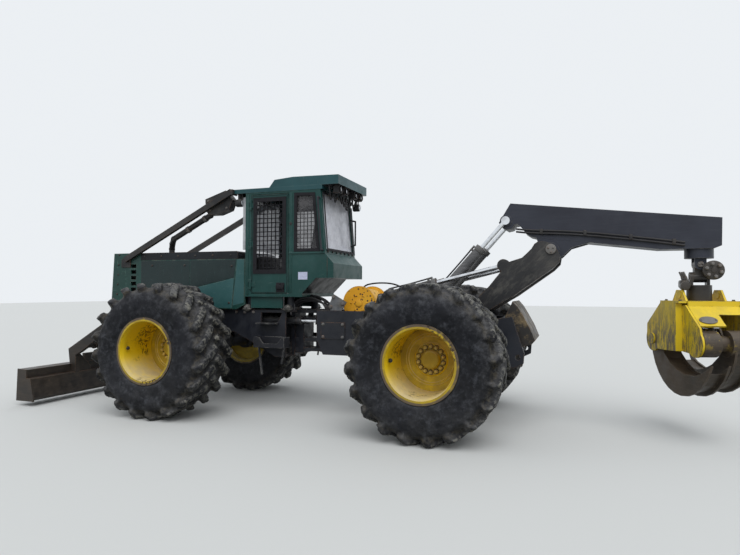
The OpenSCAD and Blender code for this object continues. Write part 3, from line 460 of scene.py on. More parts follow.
cab_side, door_face = 540, 541
door_gasket = ((314, 1848), (314, 2902), (827, 2902), (827, 1848))
door_seam = ((298, 1590), (298, 2930), (845, 2930), (845, 1590))
side_gasket = ((196, 2144), (196, 2946), (-116, 2936), (-192, 2144))
wire_y, wire_pitch, wire_half = 502, 62, 5.5
for flank in (-1, 1):
    door, cab_edge = bmesh.new(), bmesh.new()
    for mesh, outline, width, stand in ((door, door_gasket, 0.058, 0.008), (door, door_seam, 0.004, 0.003),
                                        (cab_edge, side_gasket, 0.042, 0.006)):
        ring_of(mesh, [(x, flank * door_face, z) for x, z in outline], width, (0, flank * stand, 0))
    near, far = flank * wire_y - wire_half, flank * wire_y + wire_half
    for x in range(378, 791, wire_pitch):
        block(door, at(x - wire_half, near, 1868), at(x + wire_half, far, 2882), 0.0008)
    for z in range(1934, 2855, wire_pitch):
        block(door, at(334, near, z - wire_half), at(807, far, z + wire_half), 0.0008)
    finished(f"door_gasket_{side_name(flank)}", door, rubber, f"door_{side_name(flank)}", False)
    finished(f"side_gasket_{side_name(flank)}", cab_edge, rubber, "front_half", False)
window_rings = bmesh.new()
half = 488
for foot_x, foot_z, head_x, head_z, stand in ((-272, 2158, -205, 2958, -0.006), (956, 2082, 956, 2938, 0.006)):
    corners = ((foot_x, half, foot_z), (head_x, half, head_z), (head_x, -half, head_z), (foot_x, -half, foot_z))
    ring_of(window_rings, corners, 0.03, (stand, 0, 0))
finished("end_window_gaskets", window_rings, rubber, "front_half", False)

# Door and cab fittings: pressed paddle latches, folded strips welded on at the waist and the posts, and
# small blackened bolts under the rear window.
for flank in (1, -1):
    mesh = bmesh.new()
    block(mesh, at(336, flank * cab_side, 1596), at(462, flank * 548, 1724), 0.003)
    block(mesh, at(341, flank * cab_side, 1636), at(457, flank * 568, 1694), 0.005)
    bar(mesh, at(400, flank * 546, 1710), at(400, flank * 556, 1710), 0.01)
    finished(f"door_latch_{side_name(flank)}", mesh, rubber, f"door_{side_name(flank)}")
strips = ((((268, 2112), (268, 2136), (-262, 2136), (-266, 2112)), 12, 0.004),
          (((262, 1590), (262, 2950), (226, 2950), (226, 1590)), 6, 0.002),
          (((930, 1560), (930, 2960), (900, 2960), (900, 1560)), 7, 0.002))
trim, lock = bmesh.new(), bmesh.new()
for flank in (-1, 1):
    for outline, thickness, soft in strips:
        plate_of(trim, outline, flank, cab_side, thickness, soft)
    bar(lock, at(246, flank * 545, 2527), at(246, flank * 552, 2527), 0.02)
    block(lock, at(-300, flank * cab_side, 1800), at(-294, flank * 541.5, 2060), 0.0004)
finished("cab_trim", trim, cab_green, "front_half")
for row in range(7):
    bolt(lock, at(-266, 450 - row * 150, 2142), (-1, 0, 0.09), 0.02, 0.014)
finished("cab_small_bolts", lock, black_bolts, "front_half")

# Blank sticker: a small sheet of white vinyl that greys in spots. It is stuck on the cab's left side,
# under the window.
vinyl_white, tree, skin = shader("sticker_vinyl")
fading = ranged(noise(object_spot(tree), 40.0), 0.3, 0.75)
fill(skin, {"Base Color": blend_of(fading, (0.62, 0.66, 0.86, 1), (0.5, 0.52, 0.7, 1)), "Roughness": 0.4})
mesh = bmesh.new()
plate_of(mesh, ((130, 1766), (130, 1868), (-8, 1868), (-8, 1766)), 1, cab_side, 0.8, 0.0002)
finished("blank_sticker", mesh, vinyl_white, "front_half", False)

# Cab glazing: laminated side panes darkened by tint and dirt, and a clouded rear one, pressed into the
# gaskets, with a clear shield in front.
side_glass, tree, skin = shader("side_glass")
spot = object_spot(tree)
haze = ranged(noise(spot, 5.0, 6.0, 0.7), 0.3, 0.75)
cloud = ranged(noise(spot, 3.0, 7.0, 0.7), 0.3, 0.7, 0.62, 0.92)
side_share = ranged(absolute(part_of(normal_at(spot), 1)), 0.7, 0.8)
side_look = add(tree, "Mix", {0: side_share, 2: cloud, 3: ranged(haze, 0.0, 1.0, 0.5, 0.8)}).outputs[0]
windscreen = ranged(part_of(spot, 0), 1.0, 1.2)
rear_tone = blend_of(cloud, (0.55, 0.57, 0.66, 1), (0.85, 0.86, 0.93, 1))
dark_tone = blend_of(haze, (0.03, 0.03, 0.036, 1), (0.11, 0.105, 0.11, 1))
fill(skin, {"Base Color": blend_of(side_share, rear_tone, dark_tone),
            "Alpha": add(tree, "Mix", {0: windscreen, 2: side_look, 3: 0.35}).outputs[0],
            "Roughness": ranged(haze, 0.0, 1.0, 0.08, 0.35)})
dress(side_glass, "cab_glass")
shield, tree, skin = shader("clear_shield")
spot = object_spot(tree)
fill(skin, {"Base Color": blend_of(noise(spot, 4.0, 6.0), (0.5, 0.52, 0.56, 1), (0.75, 0.77, 0.8, 1)),
            "Alpha": ranged(noise(spot, 6.0, 8.0, 0.7), 0.3, 0.75, 0.35, 0.75), "Roughness": 0.3})
dress(shield, "cab_screens")

# Lamps: black pressed shells with round reflectors behind glass, fixed under the visor and the roof's
# front. Two more hang lower, at the far rear corner and ahead of the near front one.
lamp_shell = painted("lamp_shell", (0.01, 0.01, 0.012), (0.035, 0.034, 0.036), dusty=0.25)
dress(lamp_shell, "lamps")
lens, tree, skin = shader("lamp_lens")
spot = object_spot(tree)
frost = ranged(noise(spot, 60.0), 0.4, 0.6)
fill(skin, {"Base Color": blend_of(frost, (0.75, 0.77, 0.8, 1), (0.35, 0.36, 0.38, 1)), "Metallic": 0.8,
            "Roughness": ranged(noise(spot, 90.0), 0.3, 0.7, 0.1, 0.35)})
glasses, shells = bmesh.new(), bmesh.new()
for y in (-380, -180, 180, 380):
    middle = at(-420, y, 2984)
    bar(glasses, middle, middle - Vector((0.006, 0, 0)), 0.036, 32, 0.003)
    rearward = Matrix.Translation(middle - Vector((0.008, 0, 0))) @ Matrix.Rotation(math.pi / 2, 4, "Y")
    bmesh.ops.create_cone(shells, cap_ends=False, segments=32, radius1=0.046, radius2=0.042, depth=0.024,
                          matrix=rearward)
for y in (-420, 420):
    middle = at(1120, y, 2927)
    bar(glasses, middle, middle + Vector((0.006, 0, 0)), 0.038, 32, 0.003)
for place in (at(-300, -520, 2860), at(1075, 505, 2850)):
    bar(shells, place - Vector((0.05, 0, 0)), place + Vector((0.05, 0, 0)), 0.055, 32, 0.012)
    bar(shells, place + Vector((0, 0, 0.05)), place + Vector((0, 0, 0.13)), 0.009, 12)
    bar(glasses, place - Vector((0.057, 0, 0)), place - Vector((0.05, 0, 0)), 0.042, 32, 0.002)
finished("lamp_glasses", glasses, lens, "front_half")
finished("lamp_shells", shells, lamp_shell, "front_half")

# Wires under the visor: a harness covered in black rubber, looped between the lamps and tied up to the
# roof's underside.
hose_rubber = painted("hose_rubber", (0.006, 0.006, 0.008), (0.022, 0.021, 0.023), dust=(0.1, 0.09, 0.08),
                      dusty=0.35, wear=0.2, gloss=(0.4, 0.65))


def hose(name, places, radius, material, body):
    """A flexible line through a few places, round and smooth."""
    data = bpy.data.curves.new(name, "CURVE")
    data.dimensions = "3D"
    data.bevel_depth = radius
    data.bevel_resolution = 3
    data.use_fill_caps = True
    line = data.splines.new("NURBS")
    line.points.add(len(places) - 1)
    for point, place in zip(line.points, places):
        point.co = (*place, 1)
    line.use_endpoint_u = True
    line.order_u = 4
    line.resolution_u = 8
    data.materials.append(material)
    made = placed(name, data)
    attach(made, body)
    return made


draw = random.Random(7)
wire_count, wire_gap = 9, 118
for number in range(wire_count):
    y = 500 - number * wire_gap
    sag = 2870 - draw.random() * 110
    route = ((-290 - 60 * draw.random(), y, 3030), (-310, y - 10, 2960),
             (-330 + 60 * draw.random(), y - 40, sag), (-300, y - 90, sag + 10),
             (-320, y - 120, 2950), (-300, y - 130, 3030))
    hose(f"visor_wire_{number}", [at(*place) for place in route], 0.009 + 0.005 * draw.random(),
         hose_rubber, "front_half")

# Grab handle: round steel bar, bent twice and painted black. It is bolted to the far rear post, beside
# the window.
mesh = bmesh.new()
corners = [at(x, -400, z) for x, z in ((-262, 2270), (-330, 2290), (-330, 2640), (-240, 2660))]
for start, end in zip(corners, corners[1:]):
    bar(mesh, start, end, 0.012, 16, 0.001)
for corner in corners[1:3]:
    bmesh.ops.create_uvsphere(mesh, u_segments=16, v_segments=8, radius=0.0125,
                              matrix=Matrix.Translation(corner))
finished("rear_grab_handle", mesh, hood_paint, "front_half")

# Hoses under the cab: steering and brake lines of black rubber. They leave fittings in the cab's belly,
# and cross the articulation.


def bending_hose(name, places, radius, material, bodies):
    """A flexible line that crosses a joint, turned into a plain mesh that no body carries."""
    line = hose(name + "_route", places, radius, material, bodies[0])
    bpy.context.view_layer.update()
    made = placed(name, bpy.data.meshes.new_from_object(line))
    bpy.data.objects.remove(line)
    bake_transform(made)


fittings = bmesh.new()
first_y, hose_pitch = 120, 48
for number, rise in enumerate((1500, 1530, 1470, 1545, 1490, 1520)):
    y = first_y + number * hose_pitch
    route = ((330, y, 1375), (300, y, 1440), (180, y, rise), (30, y + 8, rise + 10), (-110, y, rise - 30),
             (-190, y, 1420), (-210, y, 1349))
    bending_hose(f"belly_hose_{number}", [at(*place) for place in route], 0.014, hose_rubber,
                 ("front_half", "rear_half"))
    bar(fittings, at(330, y, 1350), at(329, y, 1392), 0.02, 6)
finished("belly_hose_fittings", fittings, steel_bolts, "front_half")

# Operator's seat: two padded cushions of black vinyl with a sewn channel, on a plain steel pedestal. A
# grey dashboard stands ahead of it.
vinyl = painted("seat_vinyl", (0.012, 0.012, 0.014), (0.03, 0.03, 0.033), dusty=0.25, wear=0.15,
                gloss=(0.4, 0.6))
dashboard = painted("dashboard_grey", (0.03, 0.03, 0.033), (0.05, 0.05, 0.052), dusty=0.3, wear=0.3)


def cushion(name, middle, size, lean_back):
    """A crowned pad whose sides pull in, with one sewn channel across it."""
    mesh = bmesh.new()
    bmesh.ops.create_cube(mesh, size=1)
    bmesh.ops.subdivide_edges(mesh, edges=mesh.edges[:], cuts=11, use_grid_fill=True)
    for vert in mesh.verts:
        across, along, up = (2 * value for value in vert.co)
        crown = (1 - across ** 4) * (1 - along ** 4)
        round_in = 1 - 0.10 * abs(up) ** 3
        channel = 0.18 * math.exp(-((across - 0.25) / 0.07) ** 2) if up > 0.9 else 0
        vert.co *= Vector((round_in * size[0], round_in * size[1], (0.72 + 0.28 * crown - channel) * size[2]))
    place = Matrix.Translation(middle) @ Matrix.Rotation(lean_back, 4, "Y")
    bmesh.ops.transform(mesh, verts=mesh.verts, matrix=place)
    made = finished(name, mesh, vinyl, "front_half")
    made.modifiers.new("soft", "SUBSURF").levels = 1
    made.modifiers["soft"].render_levels = 1
    return made


seat_pad = cushion("seat_cushion", at(350, 0, 1911), (0.51, 0.49, 0.12), 0)
back_pad = cushion("back_cushion", at(52, 0, 2264), (0.6, 0.47, 0.11), math.radians(82))
mesh = bmesh.new()
block(mesh, at(121, -229, 1581), at(539, 229, 1850), 0.02)
pedestal = finished("seat_pedestal", mesh, dashboard, "front_half")
mesh = bmesh.new()
block(mesh, at(761, -349, 1581), at(899, 349, 2100), 0.03)
dash = finished("dashboard", mesh, dashboard, "front_half")
for item in (seat_pad, back_pad, pedestal, dash):
    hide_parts("operator_seat")

# Blade and its arms: heavy welded plate, scoured to brown steel and rubbed paler along its edges. A row
# of bolts holds the cutting edge on.


def scoured(amount, tone, slant=0.0, stretch=(1.2, 3.0, 14.0)):
    """Long scrapes where logs and stones drag past, level or at a slant in side view."""
    def laid(spot, colour, grain):
        drawn = stretched(stretched(spot, turn=(0, slant, 0)), stretch)
        share = ranged(noise(drawn, 2.4, 9.0, 0.76), 0.46, 0.68, 0.0, amount)
        return blend_of(share, colour, (*tone, 1))
    return laid


blade_paint = painted("blade_steel", (0.016, 0.015, 0.015), (0.035, 0.028, 0.022), dust=(0.13, 0.1, 0.075),
                      dusty=0.4, bare=(0.16, 0.1, 0.06), wear=1.0, patches=0.25, gloss=(0.35, 0.6),
                      extra=scoured(0.6, (0.06, 0.045, 0.035)))
dress(blade_paint, "blade")
edge_bolts = bmesh.new()
for y in range(-1250, 1300, 250):
    bolt(edge_bolts, at(4190, y, 70), (1, 0, -0.3), 0.03, 0.014)
finished("blade_edge_bolts", edge_bolts, steel_bolts, "blade")

# Cylinders: painted steel barrels with glands and hose unions, and hard chrome rods. Each is pinned at
# both ends, and a pipe runs along each large barrel.
barrel_paint = painted("barrel_black", (0.014, 0.015, 0.019), (0.05, 0.05, 0.055), dusty=0.45, wear=0.9,
                       patches=0.2)
dress(barrel_paint, "arch_barrels", "blade_barrels", "steer_barrel_left", "steer_barrel_right", "tong_barrel")
grey_paint = painted("barrel_grey", (0.09, 0.09, 0.095), (0.2, 0.2, 0.2), dust=(0.15, 0.13, 0.11),
                     dusty=0.5, bare=(0.25, 0.24, 0.23), wear=0.7, patches=0.25, gloss=(0.3, 0.55),
                     extra=scoured(0.4, (0.32, 0.32, 0.33)))
dress(grey_paint, "boom_barrels")
chrome, tree, skin = shader("rod_chrome")
film = noise(object_spot(tree), 14.0, 6.0)
smears = ranged(film, 0.4, 0.8)
fill(skin, {"Base Color": blend_of(smears, (0.78, 0.8, 0.83, 1), (0.45, 0.45, 0.46, 1)), "Metallic": 1.0,
            "Roughness": ranged(film, 0.3, 0.7, 0.08, 0.3)})
dress(chrome, "arch_rods", "boom_rods", "blade_rods", "steer_rod_left", "steer_rod_right", "tong_rod")
# Foot pin, eye pin, distance off the middle, radius, length of the barrel, and node
barrels = (((-1560, 1363), (-2575, 2500), 204, 62, 1080, "boom_barrels"),
           ((-1000, 1538), (-2570, 1935), 350, 55, 760, "arch_barrels"))
for foot, eye, y, radius, reach, node in barrels:
    start = Vector((foot[0], 0, foot[1]))
    line = (Vector((eye[0], 0, eye[1])) - start).normalized()
    square = Vector((line.z, 0, -line.x))
    glands = ((reach - 64, reach - 4, radius + 9), (reach - 4, reach + 4, radius - 18), (120, 150, radius + 4))
    mesh, unions = bmesh.new(), bmesh.new()
    for flank in (-1, 1):
        def along(distance, lift=0.0):
            """A place on this barrel, at a distance from its foot pin and a lift off its middle line."""
            return at(*(start + line * distance + square * lift + Vector((0, flank * y, 0))))
        for near, far, wide in glands:
            bar(mesh, along(near), along(far), wide * MM, 40)
        for distance in (130, reach - 100):
            bar(unions, along(distance, radius - 4), along(distance, radius + 34), 0.016, 6)
            bar(unions, along(distance, radius + 22), along(distance + 60, radius + 24), 0.013, 12)
        pipe = [along(190, radius + 24), along(300, radius + 22), along(reach / 2, radius + 18),
                along(reach - 250, radius + 20), along(reach - 100, radius + 24)]
        hose(f"{node}_pipe_{side_name(flank)}", pipe, 0.01, hose_rubber, node)
    finished(f"{node}_glands", mesh, steel_bolts, node)
    finished(f"{node}_unions", unions, steel_bolts, node)

# Wheels: yellow pressed rims held by fourteen nuts round the hub, and tyres of black rubber with mud
# dried on their worn lugs.
axle_height = 0.885


def wheel_radius(spot, axle_x):
    """Distance from the wheel's axle, in metres."""
    tree = spot.id_data
    moved = add(tree, "VectorMath", {0: spot, 1: (axle_x, 0, axle_height)}, operation="SUBTRACT").outputs[0]
    flat = add(tree, "VectorMath", {0: moved, 1: (1, 0, 1)}, operation="MULTIPLY").outputs[0]
    return add(tree, "VectorMath", {0: flat}, operation="LENGTH").outputs["Value"]


def rim_wear(axle_x):
    """Brown film on the disc, a faded barrel where it faces up, and a flange rubbed to grey-brown."""
    def laid(spot, colour, grain):
        away = wheel_radius(spot, axle_x)
        normal = normal_at(spot)
        film = times(ranged(absolute(part_of(normal, 1)), 0.6, 0.9), ranged(grain, 0.25, 0.6, 0.3, 0.75))
        colour = blend_of(film, colour, (0.3, 0.2, 0.035, 1))
        faded = times(ranged(part_of(normal, 2), 0.1, 0.9), ranged(grain, 0.3, 0.6, 0.5, 0.95))
        colour = blend_of(faded, colour, (0.74, 0.63, 0.38, 1))
        flange = times(ranged(away, 0.404, 0.412), ranged(grain, 0.3, 0.5, 0.6, 1.0))
        colour = blend_of(flange, colour, (0.12, 0.09, 0.065, 1))
        flakes = ranged(noise(spot, 26.0, 6.0, 0.7), 0.49, 0.55)
        cloud = ranged(noise(spot, 2.2, 4.0, 0.6), 0.5, 0.62)
        chipped = times(times(ranged(away, 0.345, 0.38), flakes), cloud)
        return blend_of(chipped, colour, (0.035, 0.02, 0.012, 1))
    return laid


def tyre_wear(axle_x):
    """Dried mud in grooves, dust on shoulders, bluish patches of painted sky reflection and pale chips on lugs.
    """
    def laid(spot, colour, grain):
        away = wheel_radius(spot, axle_x)
        fine = noise(spot, 19.0, 9.0, 0.72)
        blotch = noise(spot, 6.5, 10.0, 0.8)
        shoulder = times(ranged(away, 0.62, 0.8), ranged(blotch, 0.42, 0.66, 0.0, 0.75))
        colour = blend_of(shoulder, colour, (0.085, 0.085, 0.088, 1))
        groove = times(ranged(away, 0.85, 0.8), ranged(away, 0.74, 0.79))
        mud = times(groove, ranged(fine, 0.4, 0.62, 0.0, 0.7))
        colour = blend_of(mud, colour, (0.1, 0.085, 0.06, 1))
        tips = times(ranged(away, 0.83, 0.862), ranged(fine, 0.46, 0.6, 0.0, 0.85))
        colour = blend_of(tips, colour, (0.26, 0.25, 0.215, 1))
        # Bluish grey patches: painted sky reflection on the rubber.
        sky_tint_patches = times(ranged(fine, 0.4, 0.66, 0.0, 0.6), ranged(blotch, 0.44, 0.6))
        colour = blend_of(sky_tint_patches, colour, (0.085, 0.09, 0.105, 1))
        bead = times(ranged(away, 0.475, 0.44), 0.45)
        return blend_of(bead, colour, (0.055, 0.058, 0.066, 1))
    return laid


def worn_tyre(name, material, body):
    """A copy of the tyre with its lugs rounded and scuffed by work, in place of the plain one."""
    mesh = bmesh.new()
    mesh.from_mesh(nodes[name].data)
    bmesh.ops.remove_doubles(mesh, verts=mesh.verts, dist=1e-5)
    cast = placed(name + "_cast", data_of(name + "_cast", mesh))
    remesh = cast.modifiers.new("remesh", "REMESH")
    remesh.mode = "VOXEL"
    remesh.voxel_size = 0.0165
    smooth = cast.modifiers.new("smooth", "SMOOTH")
    smooth.factor, smooth.iterations = 0.6, 5
    for title, size, strength in (("scuffs", 0.13, 0.032), ("cuts", 0.03, 0.011)):
        texture = bpy.data.textures.new(f"{name}_{title}", "CLOUDS")
        texture.noise_scale = size
        texture.noise_depth = 2
        moved = cast.modifiers.new(title, "DISPLACE")
        moved.texture = texture
        moved.texture_coords = "LOCAL"
        moved.strength = strength
        moved.mid_level = 0.56
    graph = bpy.context.evaluated_depsgraph_get()
    shaped = bpy.data.meshes.new_from_object(cast.evaluated_get(graph), depsgraph=graph)
    bpy.data.objects.remove(cast)
    shaped.name = name + "_worn"
    shaped.materials.clear()
    shaped.materials.append(material)
    shaped.polygons.foreach_set("use_smooth", [True] * len(shaped.polygons))
    made = placed(name + "_worn", shaped)
    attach(made, body)
    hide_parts(name)


def around(middle, radius, count, start=0.0):
    """Places spread evenly round an upright circle in side view."""
    for turn in range(count):
        angle = start + math.tau * turn / count
        yield middle + Vector((math.cos(angle), 0, math.sin(angle))) * radius


nut_paint = painted("nut_yellow", (0.7, 0.5, 0.08), (0.8, 0.62, 0.2), dust=(0.45, 0.38, 0.22), dusty=0.4,
                    bare=(0.3, 0.24, 0.16), wear=0.8, patches=0.2, gloss=(0.25, 0.5), shine=0.6)
# Dark brown discs behind the nuts and at the hub: painted shade round them, with brown grime.
seat_shade_and_grime = painted("nut_seat_shade_and_grime", (0.06, 0.035, 0.01), (0.14, 0.09, 0.02), dust=(0.2, 0.14, 0.05),
                     dusty=0.3)
nut_count, nut_circle, disc_y, disc_step = 14, 0.15, 0.99, 0.021
for end, axle_x in (("front", 2.365), ("rear", -1.265)):
    rim_paint = painted(f"rim_yellow_{end}", (0.86, 0.6, 0.008), (0.9, 0.66, 0.02), dust=(0.4, 0.3, 0.12),
                        dusty=0.3, bare=(0.09, 0.045, 0.02), wear=0.5, patches=0.15,
                        extra=rim_wear(axle_x))
    # The rubber's blue tint is painted sky reflection.
    tyre_rubber = painted(f"tyre_rubber_{end}", (0.006, 0.0065, 0.0085), (0.018, 0.019, 0.024),
                          dust=(0.12, 0.12, 0.125), dusty=0.42, bare=(0.06, 0.06, 0.06), wear=0.3,
                          gloss=(0.5, 0.8), extra=tyre_wear(axle_x), shine=0.18)
    for flank in (1, -1):
        corner = f"{end}_{side_name(flank)}"
        dress(rim_paint, f"rim_{corner}")
        dress(tyre_rubber, f"tyre_{corner}")
        worn_tyre(f"tyre_{corner}", tyre_rubber, f"wheel_{corner}")
        nuts, seats, valve = bmesh.new(), bmesh.new(), bmesh.new()
        face = Vector((axle_x, flank * disc_y, axle_height))
        out = Vector((0, flank, 0))
        for place in around(face, nut_circle, nut_count, math.pi / nut_count):
            bar(seats, place - out * 0.003, place + out * 0.003, 0.031, 20)
            bar(nuts, place, place + out * 0.034, 0.023, 6, 0.003)
            bar(nuts, place, place + out * 0.046, 0.012, 12)
        # Two beads of weld that run round the disc
        for bead_radius, wide in ((0.27, 0.007), (0.3, 0.004)):
            place = Matrix.Translation(face - out * disc_step + Vector((bead_radius, 0, 0)))
            bead = bmesh.ops.create_circle(nuts, segments=8, radius=wide, matrix=place)["verts"]
            loop = list(dict.fromkeys(edge for vert in bead for edge in vert.link_edges))
            bmesh.ops.spin(nuts, geom=loop + bead, cent=face, axis=out, dvec=(0, 0, 0), angle=math.tau,
                           steps=96, use_merge=True, use_duplicate=False)
        bar(seats, face - out * 0.002, face + out * 0.002, 0.112, 48, 0.0008)
        stem = Vector((axle_x + 0.352, flank * 1.44, axle_height + 0.02))
        bar(valve, stem, stem - Vector((0.02, 0, 0)) + out * 0.03, 0.013, 16)
        bar(valve, stem - out * 0.02, stem, 0.024, 20)
        for title, mesh, finish in (("nuts", nuts, nut_paint), ("nut_seats", seats, seat_shade_and_grime),
                                    ("valve", valve, black_bolts)):
            finished(f"wheel_{title}_{corner}", mesh, finish, f"wheel_{corner}")

# Arch: legs of thick welded plate, pinned to the rear frame. Their black paint is dulled to grey-brown
# by logs and chains.
arch_paint = painted("arch_black", (0.01, 0.0105, 0.0125), (0.036, 0.035, 0.036), dust=(0.13, 0.115, 0.1),
                     dusty=0.35, wear=1.0, patches=0.35,
                     extra=scoured(0.75, (0.1, 0.095, 0.085), math.radians(-42), (1.5, 3.0, 4.5)))
dress(arch_paint, "arch")

# Boom: a box of welded plate, black with a blue tint that is painted sky reflection, and scraped paler.
# Capped pins join it to the arch and to its cylinders, and two hoses are clipped along its side.
# The blue in its tone, its dust and its scrapes is painted sky reflection.
boom_paint = painted("boom_black", (0.017, 0.019, 0.031), (0.03, 0.034, 0.05), dust=(0.1, 0.105, 0.12),
                     dusty=0.22, bare=(0.16, 0.15, 0.13), wear=0.8, gloss=(0.35, 0.55),
                     extra=scoured(0.25, (0.055, 0.06, 0.075)))
dress(boom_paint, "boom")
# Each cap's x, z, distance off the middle and radius
caps = {"boom": [(-3120, 2120, 425, 60), (-4730, 1935, 105, 34)], "arch": [(-1560, 1363, 286, 44)],
        "rear_half": [(-1800, 1200, 466, 62), (-1000, 1538, 405, 36)]}
for body, places in caps.items():
    mesh = bmesh.new()
    for flank in (-1, 1):
        out = Vector((0, flank, 0))
        for x, z, y, radius in places:
            place = at(x, flank * y, z)
            bar(mesh, place - out * 0.004, place + out * 0.012, radius * MM, 32, 0.003)
            for seat in around(place, radius * MM * 0.55, 3, 0.5):
                bar(mesh, seat, seat + out * 0.022, 0.011, 6, 0.001)
    finished(f"{body}_pin_caps", mesh, steel_bolts, body)
run = [(-2700, 2360), (-2900, 2330), (-3200, 2330), (-3800, 2260), (-4300, 2190), (-4560, 2150)]
hose_gap = 34
for number in range(2):
    places = [at(x, 185, z + hose_gap * number) for x, z in run]
    hose(f"boom_hose_{number}", places, 0.012, hose_rubber, "boom")
clips = bmesh.new()
for x, z in ((-3000, 2342), (-3500, 2312), (-4000, 2250), (-4450, 2184)):
    block(clips, at(x - 18, 168, z - 22), at(x + 18, 200, z + 42), 0.004)
finished("boom_hose_clips", clips, black_bolts, "boom")

# Grapple hanger: a swing link and a rotator of greasy cast steel, pinned at the boom's end. A round
# manifold with hose unions is bolted to the link.
hanger_paint = painted("hanger_steel", (0.018, 0.016, 0.015), (0.06, 0.052, 0.045), dust=(0.1, 0.085, 0.07),
                       dusty=0.5, bare=(0.16, 0.13, 0.1), wear=1.0, patches=0.3, gloss=(0.3, 0.6))
dress(hanger_paint, "swing_link", "rotator")
mesh, unions = bmesh.new(), bmesh.new()
middle = at(-4845, 134, 1866)
lid = middle + Vector((0, 0.05, 0))
bar(mesh, middle, lid, 0.108, 48, 0.008)
bar(mesh, lid, middle + Vector((0, 0.056, 0)), 0.03)
block(mesh, at(-4860, 60, 1838), at(-4780, 136, 1880), 0.008)
for place in around(lid, 0.074, 6, 0.3):
    bar(unions, place, place + Vector((0, 0.02, 0)), 0.023, 6, 0.002)
    bar(unions, place, place + Vector((0, 0.04, 0)), 0.017, 20, 0.003)
finished("manifold", mesh, hanger_paint, "swing_link")
finished("manifold_unions", unions, steel_bolts, "swing_link")

# Rotator's motor: a cast block with a round end, bolted beside the rotator. Three steel unions screw
# into its top.
mesh, unions = bmesh.new(), bmesh.new()
block(mesh, at(-4612, -40, 1664), at(-4520, 120, 1758), 0.02)
bar(mesh, at(-4566, 40, 1690), at(-4566, 170, 1690), 0.05, 32, 0.008)
for x, y in ((-4590, 100), (-4556, 60), (-4586, 10)):
    bar(unions, at(x, y, 1752), at(x + 14, y + 12, 1796), 0.015, 6, 0.002)
    bar(unions, at(x + 12, y + 10, 1790), at(x + 40, y + 26, 1850), 0.011, 16, 0.002)
finished("rotator_motor", mesh, hanger_paint, "rotator")
finished("rotator_motor_unions", unions, steel_bolts, "rotator")

# Grapple: a head of yellow enamelled plate, scraped to grey on its ends, and two tongs of thick plate
# worn bare, pinned in the head.
grapple_x, head_turn = -4730, Matrix.Rotation(math.radians(-70), 3, "Z")
end_way = head_turn @ Vector((0, 1, 0))


def scraped_ends(spot, colour, grain):
    """Grey-brown scrapes that run down the head's end plates."""
    ends = ranged(absolute(dot_of(normal_at(spot), tuple(end_way))), 0.7, 0.9)
    scrape = ranged(noise(stretched(spot, (5.0, 5.0, 1.3)), 3.0, 9.0, 0.78), 0.42, 0.58)
    low = ranged(part_of(spot, 2), 1.5, 1.1, 0.35, 1.0)
    colour = blend_of(times(times(ends, scrape), low), colour, (0.15, 0.12, 0.085, 1))
    specks = ranged(noise(spot, 22.0, 7.0, 0.7), 0.62, 0.66, 0.0, 0.8)
    return blend_of(times(specks, ends), colour, (0.06, 0.04, 0.03, 1))


grapple_paint = painted("grapple_yellow", (0.8, 0.55, 0.012), (0.84, 0.62, 0.03), dust=(0.2, 0.17, 0.09),
                        dusty=0.25, bare=(0.09, 0.065, 0.04), wear=0.9, patches=0.15, gloss=(0.3, 0.5),
                        extra=scraped_ends)
dress(grapple_paint, "grapple_head")


def yellow_left(spot, colour, grain):
    """Scraps of yellow enamel that are left near the tongs' pivots."""
    high = ranged(part_of(spot, 2), 0.95, 1.25, 0.0, 0.9)
    scraps = ranged(noise(spot, 8.0, 8.0, 0.75), 0.55, 0.6)
    colour = blend_of(times(high, scraps), colour, (0.5, 0.36, 0.04, 1))
    return scoured(0.5, (0.13, 0.1, 0.07))(spot, colour, grain)


steel_rust = painted("worn_plate", (0.045, 0.036, 0.027), (0.085, 0.06, 0.04), dust=(0.14, 0.11, 0.075),
                     dusty=0.4, bare=(0.2, 0.15, 0.11), wear=0.8, gloss=(0.35, 0.6), patches=0.2,
                     extra=yellow_left)
dress(steel_rust, "tong_a", "tong_b")


def head_place(x, y, z):
    """A place given in the grapple's own frame, whose tong pivots run along Y, in millimetres."""
    turned = head_turn @ Vector((x, y, 0))
    return at(grapple_x + turned.x, turned.y, z)


cover, head_bolts = bmesh.new(), bmesh.new()
slope_in = Vector((-0.659, 0, 0.752))
for turn in (1, -1):
    seat = head_place(-388 * turn, 130 * turn, 1312)
    flat = head_turn @ Vector((slope_in.x * turn, 0, slope_in.z))
    up_slope = head_turn @ Vector((slope_in.z * turn, 0, -slope_in.x))
    along_slope = flat.cross(up_slope)
    turned = Matrix((up_slope, along_slope, flat)).transposed().to_4x4()
    oval = Matrix.Translation(seat + flat * 0.006) @ turned @ Matrix.Diagonal((1, 1.8, 1, 1))
    made = bmesh.ops.create_cone(cover, cap_ends=True, segments=40, radius1=0.055, radius2=0.055,
                                 depth=0.012, matrix=oval)
    ease(cover, made["verts"], 0.003)
    for step in (-0.08, 0.08):
        bolt(head_bolts, seat + along_slope * step + flat * 0.012, flat, 0.016, 0.008)
    for x in (-150, 150):
        for y in (-300, 300):
            bolt(head_bolts, head_place(x, y * turn, 1520), (0, 0, 1), 0.028, 0.016)
finished("head_oval_covers", cover, steel_bolts, "grapple_head")
finished("head_bolts", head_bolts, steel_bolts, "grapple_head")

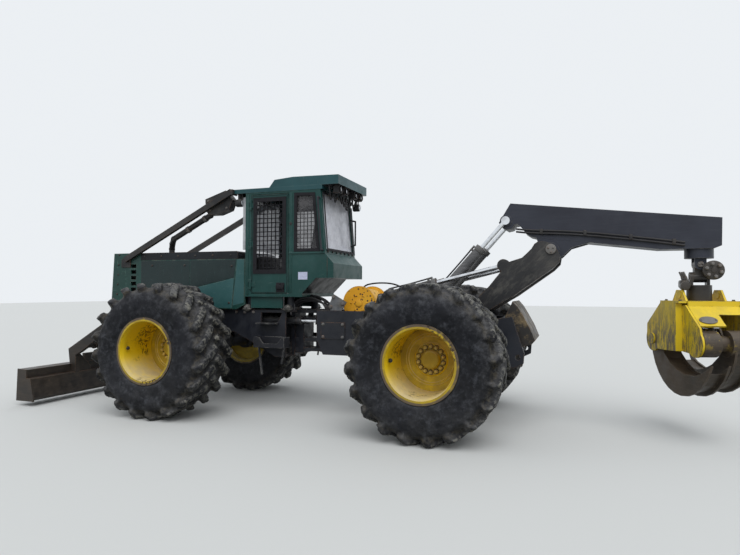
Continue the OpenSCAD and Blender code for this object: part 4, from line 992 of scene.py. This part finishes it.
# Winch: yellow enamel on cast iron, chipped to brown. Six bolts hold its flange, and a black rubber hose
# loops back from its top.


def chipped(spot, colour, grain):
    """Round brown chips in the enamel, and a grey coat on the bracket plate outside the drum."""
    spots = add(spot.id_data, "TexVoronoi", {"Vector": spot, "Scale": 21.0}).outputs["Distance"]
    share = times(ranged(spots, 0.3, 0.22), ranged(grain, 0.42, 0.5))
    colour = blend_of(share, colour, (0.07, 0.03, 0.015, 1))
    grey = blend_of(ranged(grain, 0.35, 0.65), (0.06, 0.065, 0.07, 1), (0.15, 0.155, 0.165, 1))
    return blend_of(ranged(part_of(spot, 1), 0.385, 0.39), colour, grey)


winch_paint = painted("winch_yellow", (0.78, 0.36, 0.012), (0.84, 0.46, 0.03), dust=(0.5, 0.38, 0.2),
                      dusty=0.35, bare=(0.1, 0.045, 0.02), wear=0.8, patches=0.35, extra=chipped)
dress(winch_paint, "winch")
mesh = bmesh.new()
hub, bolt_circle = at(-650, 281, 1452), 0.11
bar(mesh, hub, hub + Vector((0, 0.01, 0)), 0.05, 40, 0.003)
for place in around(at(-650, 280, 1452), bolt_circle, 6):
    bolt(mesh, place, (0, 1, 0), 0.018, 0.009)
finished("winch_flange_bolts", mesh, winch_paint, "rear_half")
supply = ((-640, 120, 1636), (-665, 120, 1690), (-760, 122, 1716), (-900, 125, 1728), (-1060, 128, 1722),
          (-1200, 130, 1680), (-1290, 130, 1580), (-1310, 130, 1450), (-1310, 130, 1350))
hose("winch_supply_hose", [at(*place) for place in supply], 0.011, hose_rubber, "rear_half")

# Butt plate: a sloping wall of thick plate across the rear. Logs ride against it, and it is rusty where
# they rub.
butt_paint = painted("butt_rust", (0.02, 0.018, 0.017), (0.05, 0.04, 0.03), dust=(0.2, 0.15, 0.09),
                     dusty=0.6, bare=(0.26, 0.15, 0.08), wear=1.0, patches=0.6,
                     extra=scoured(0.9, (0.26, 0.19, 0.1), 0.0, (2.0, 2.5, 2.5)))
dress(butt_paint, "butt_plate")
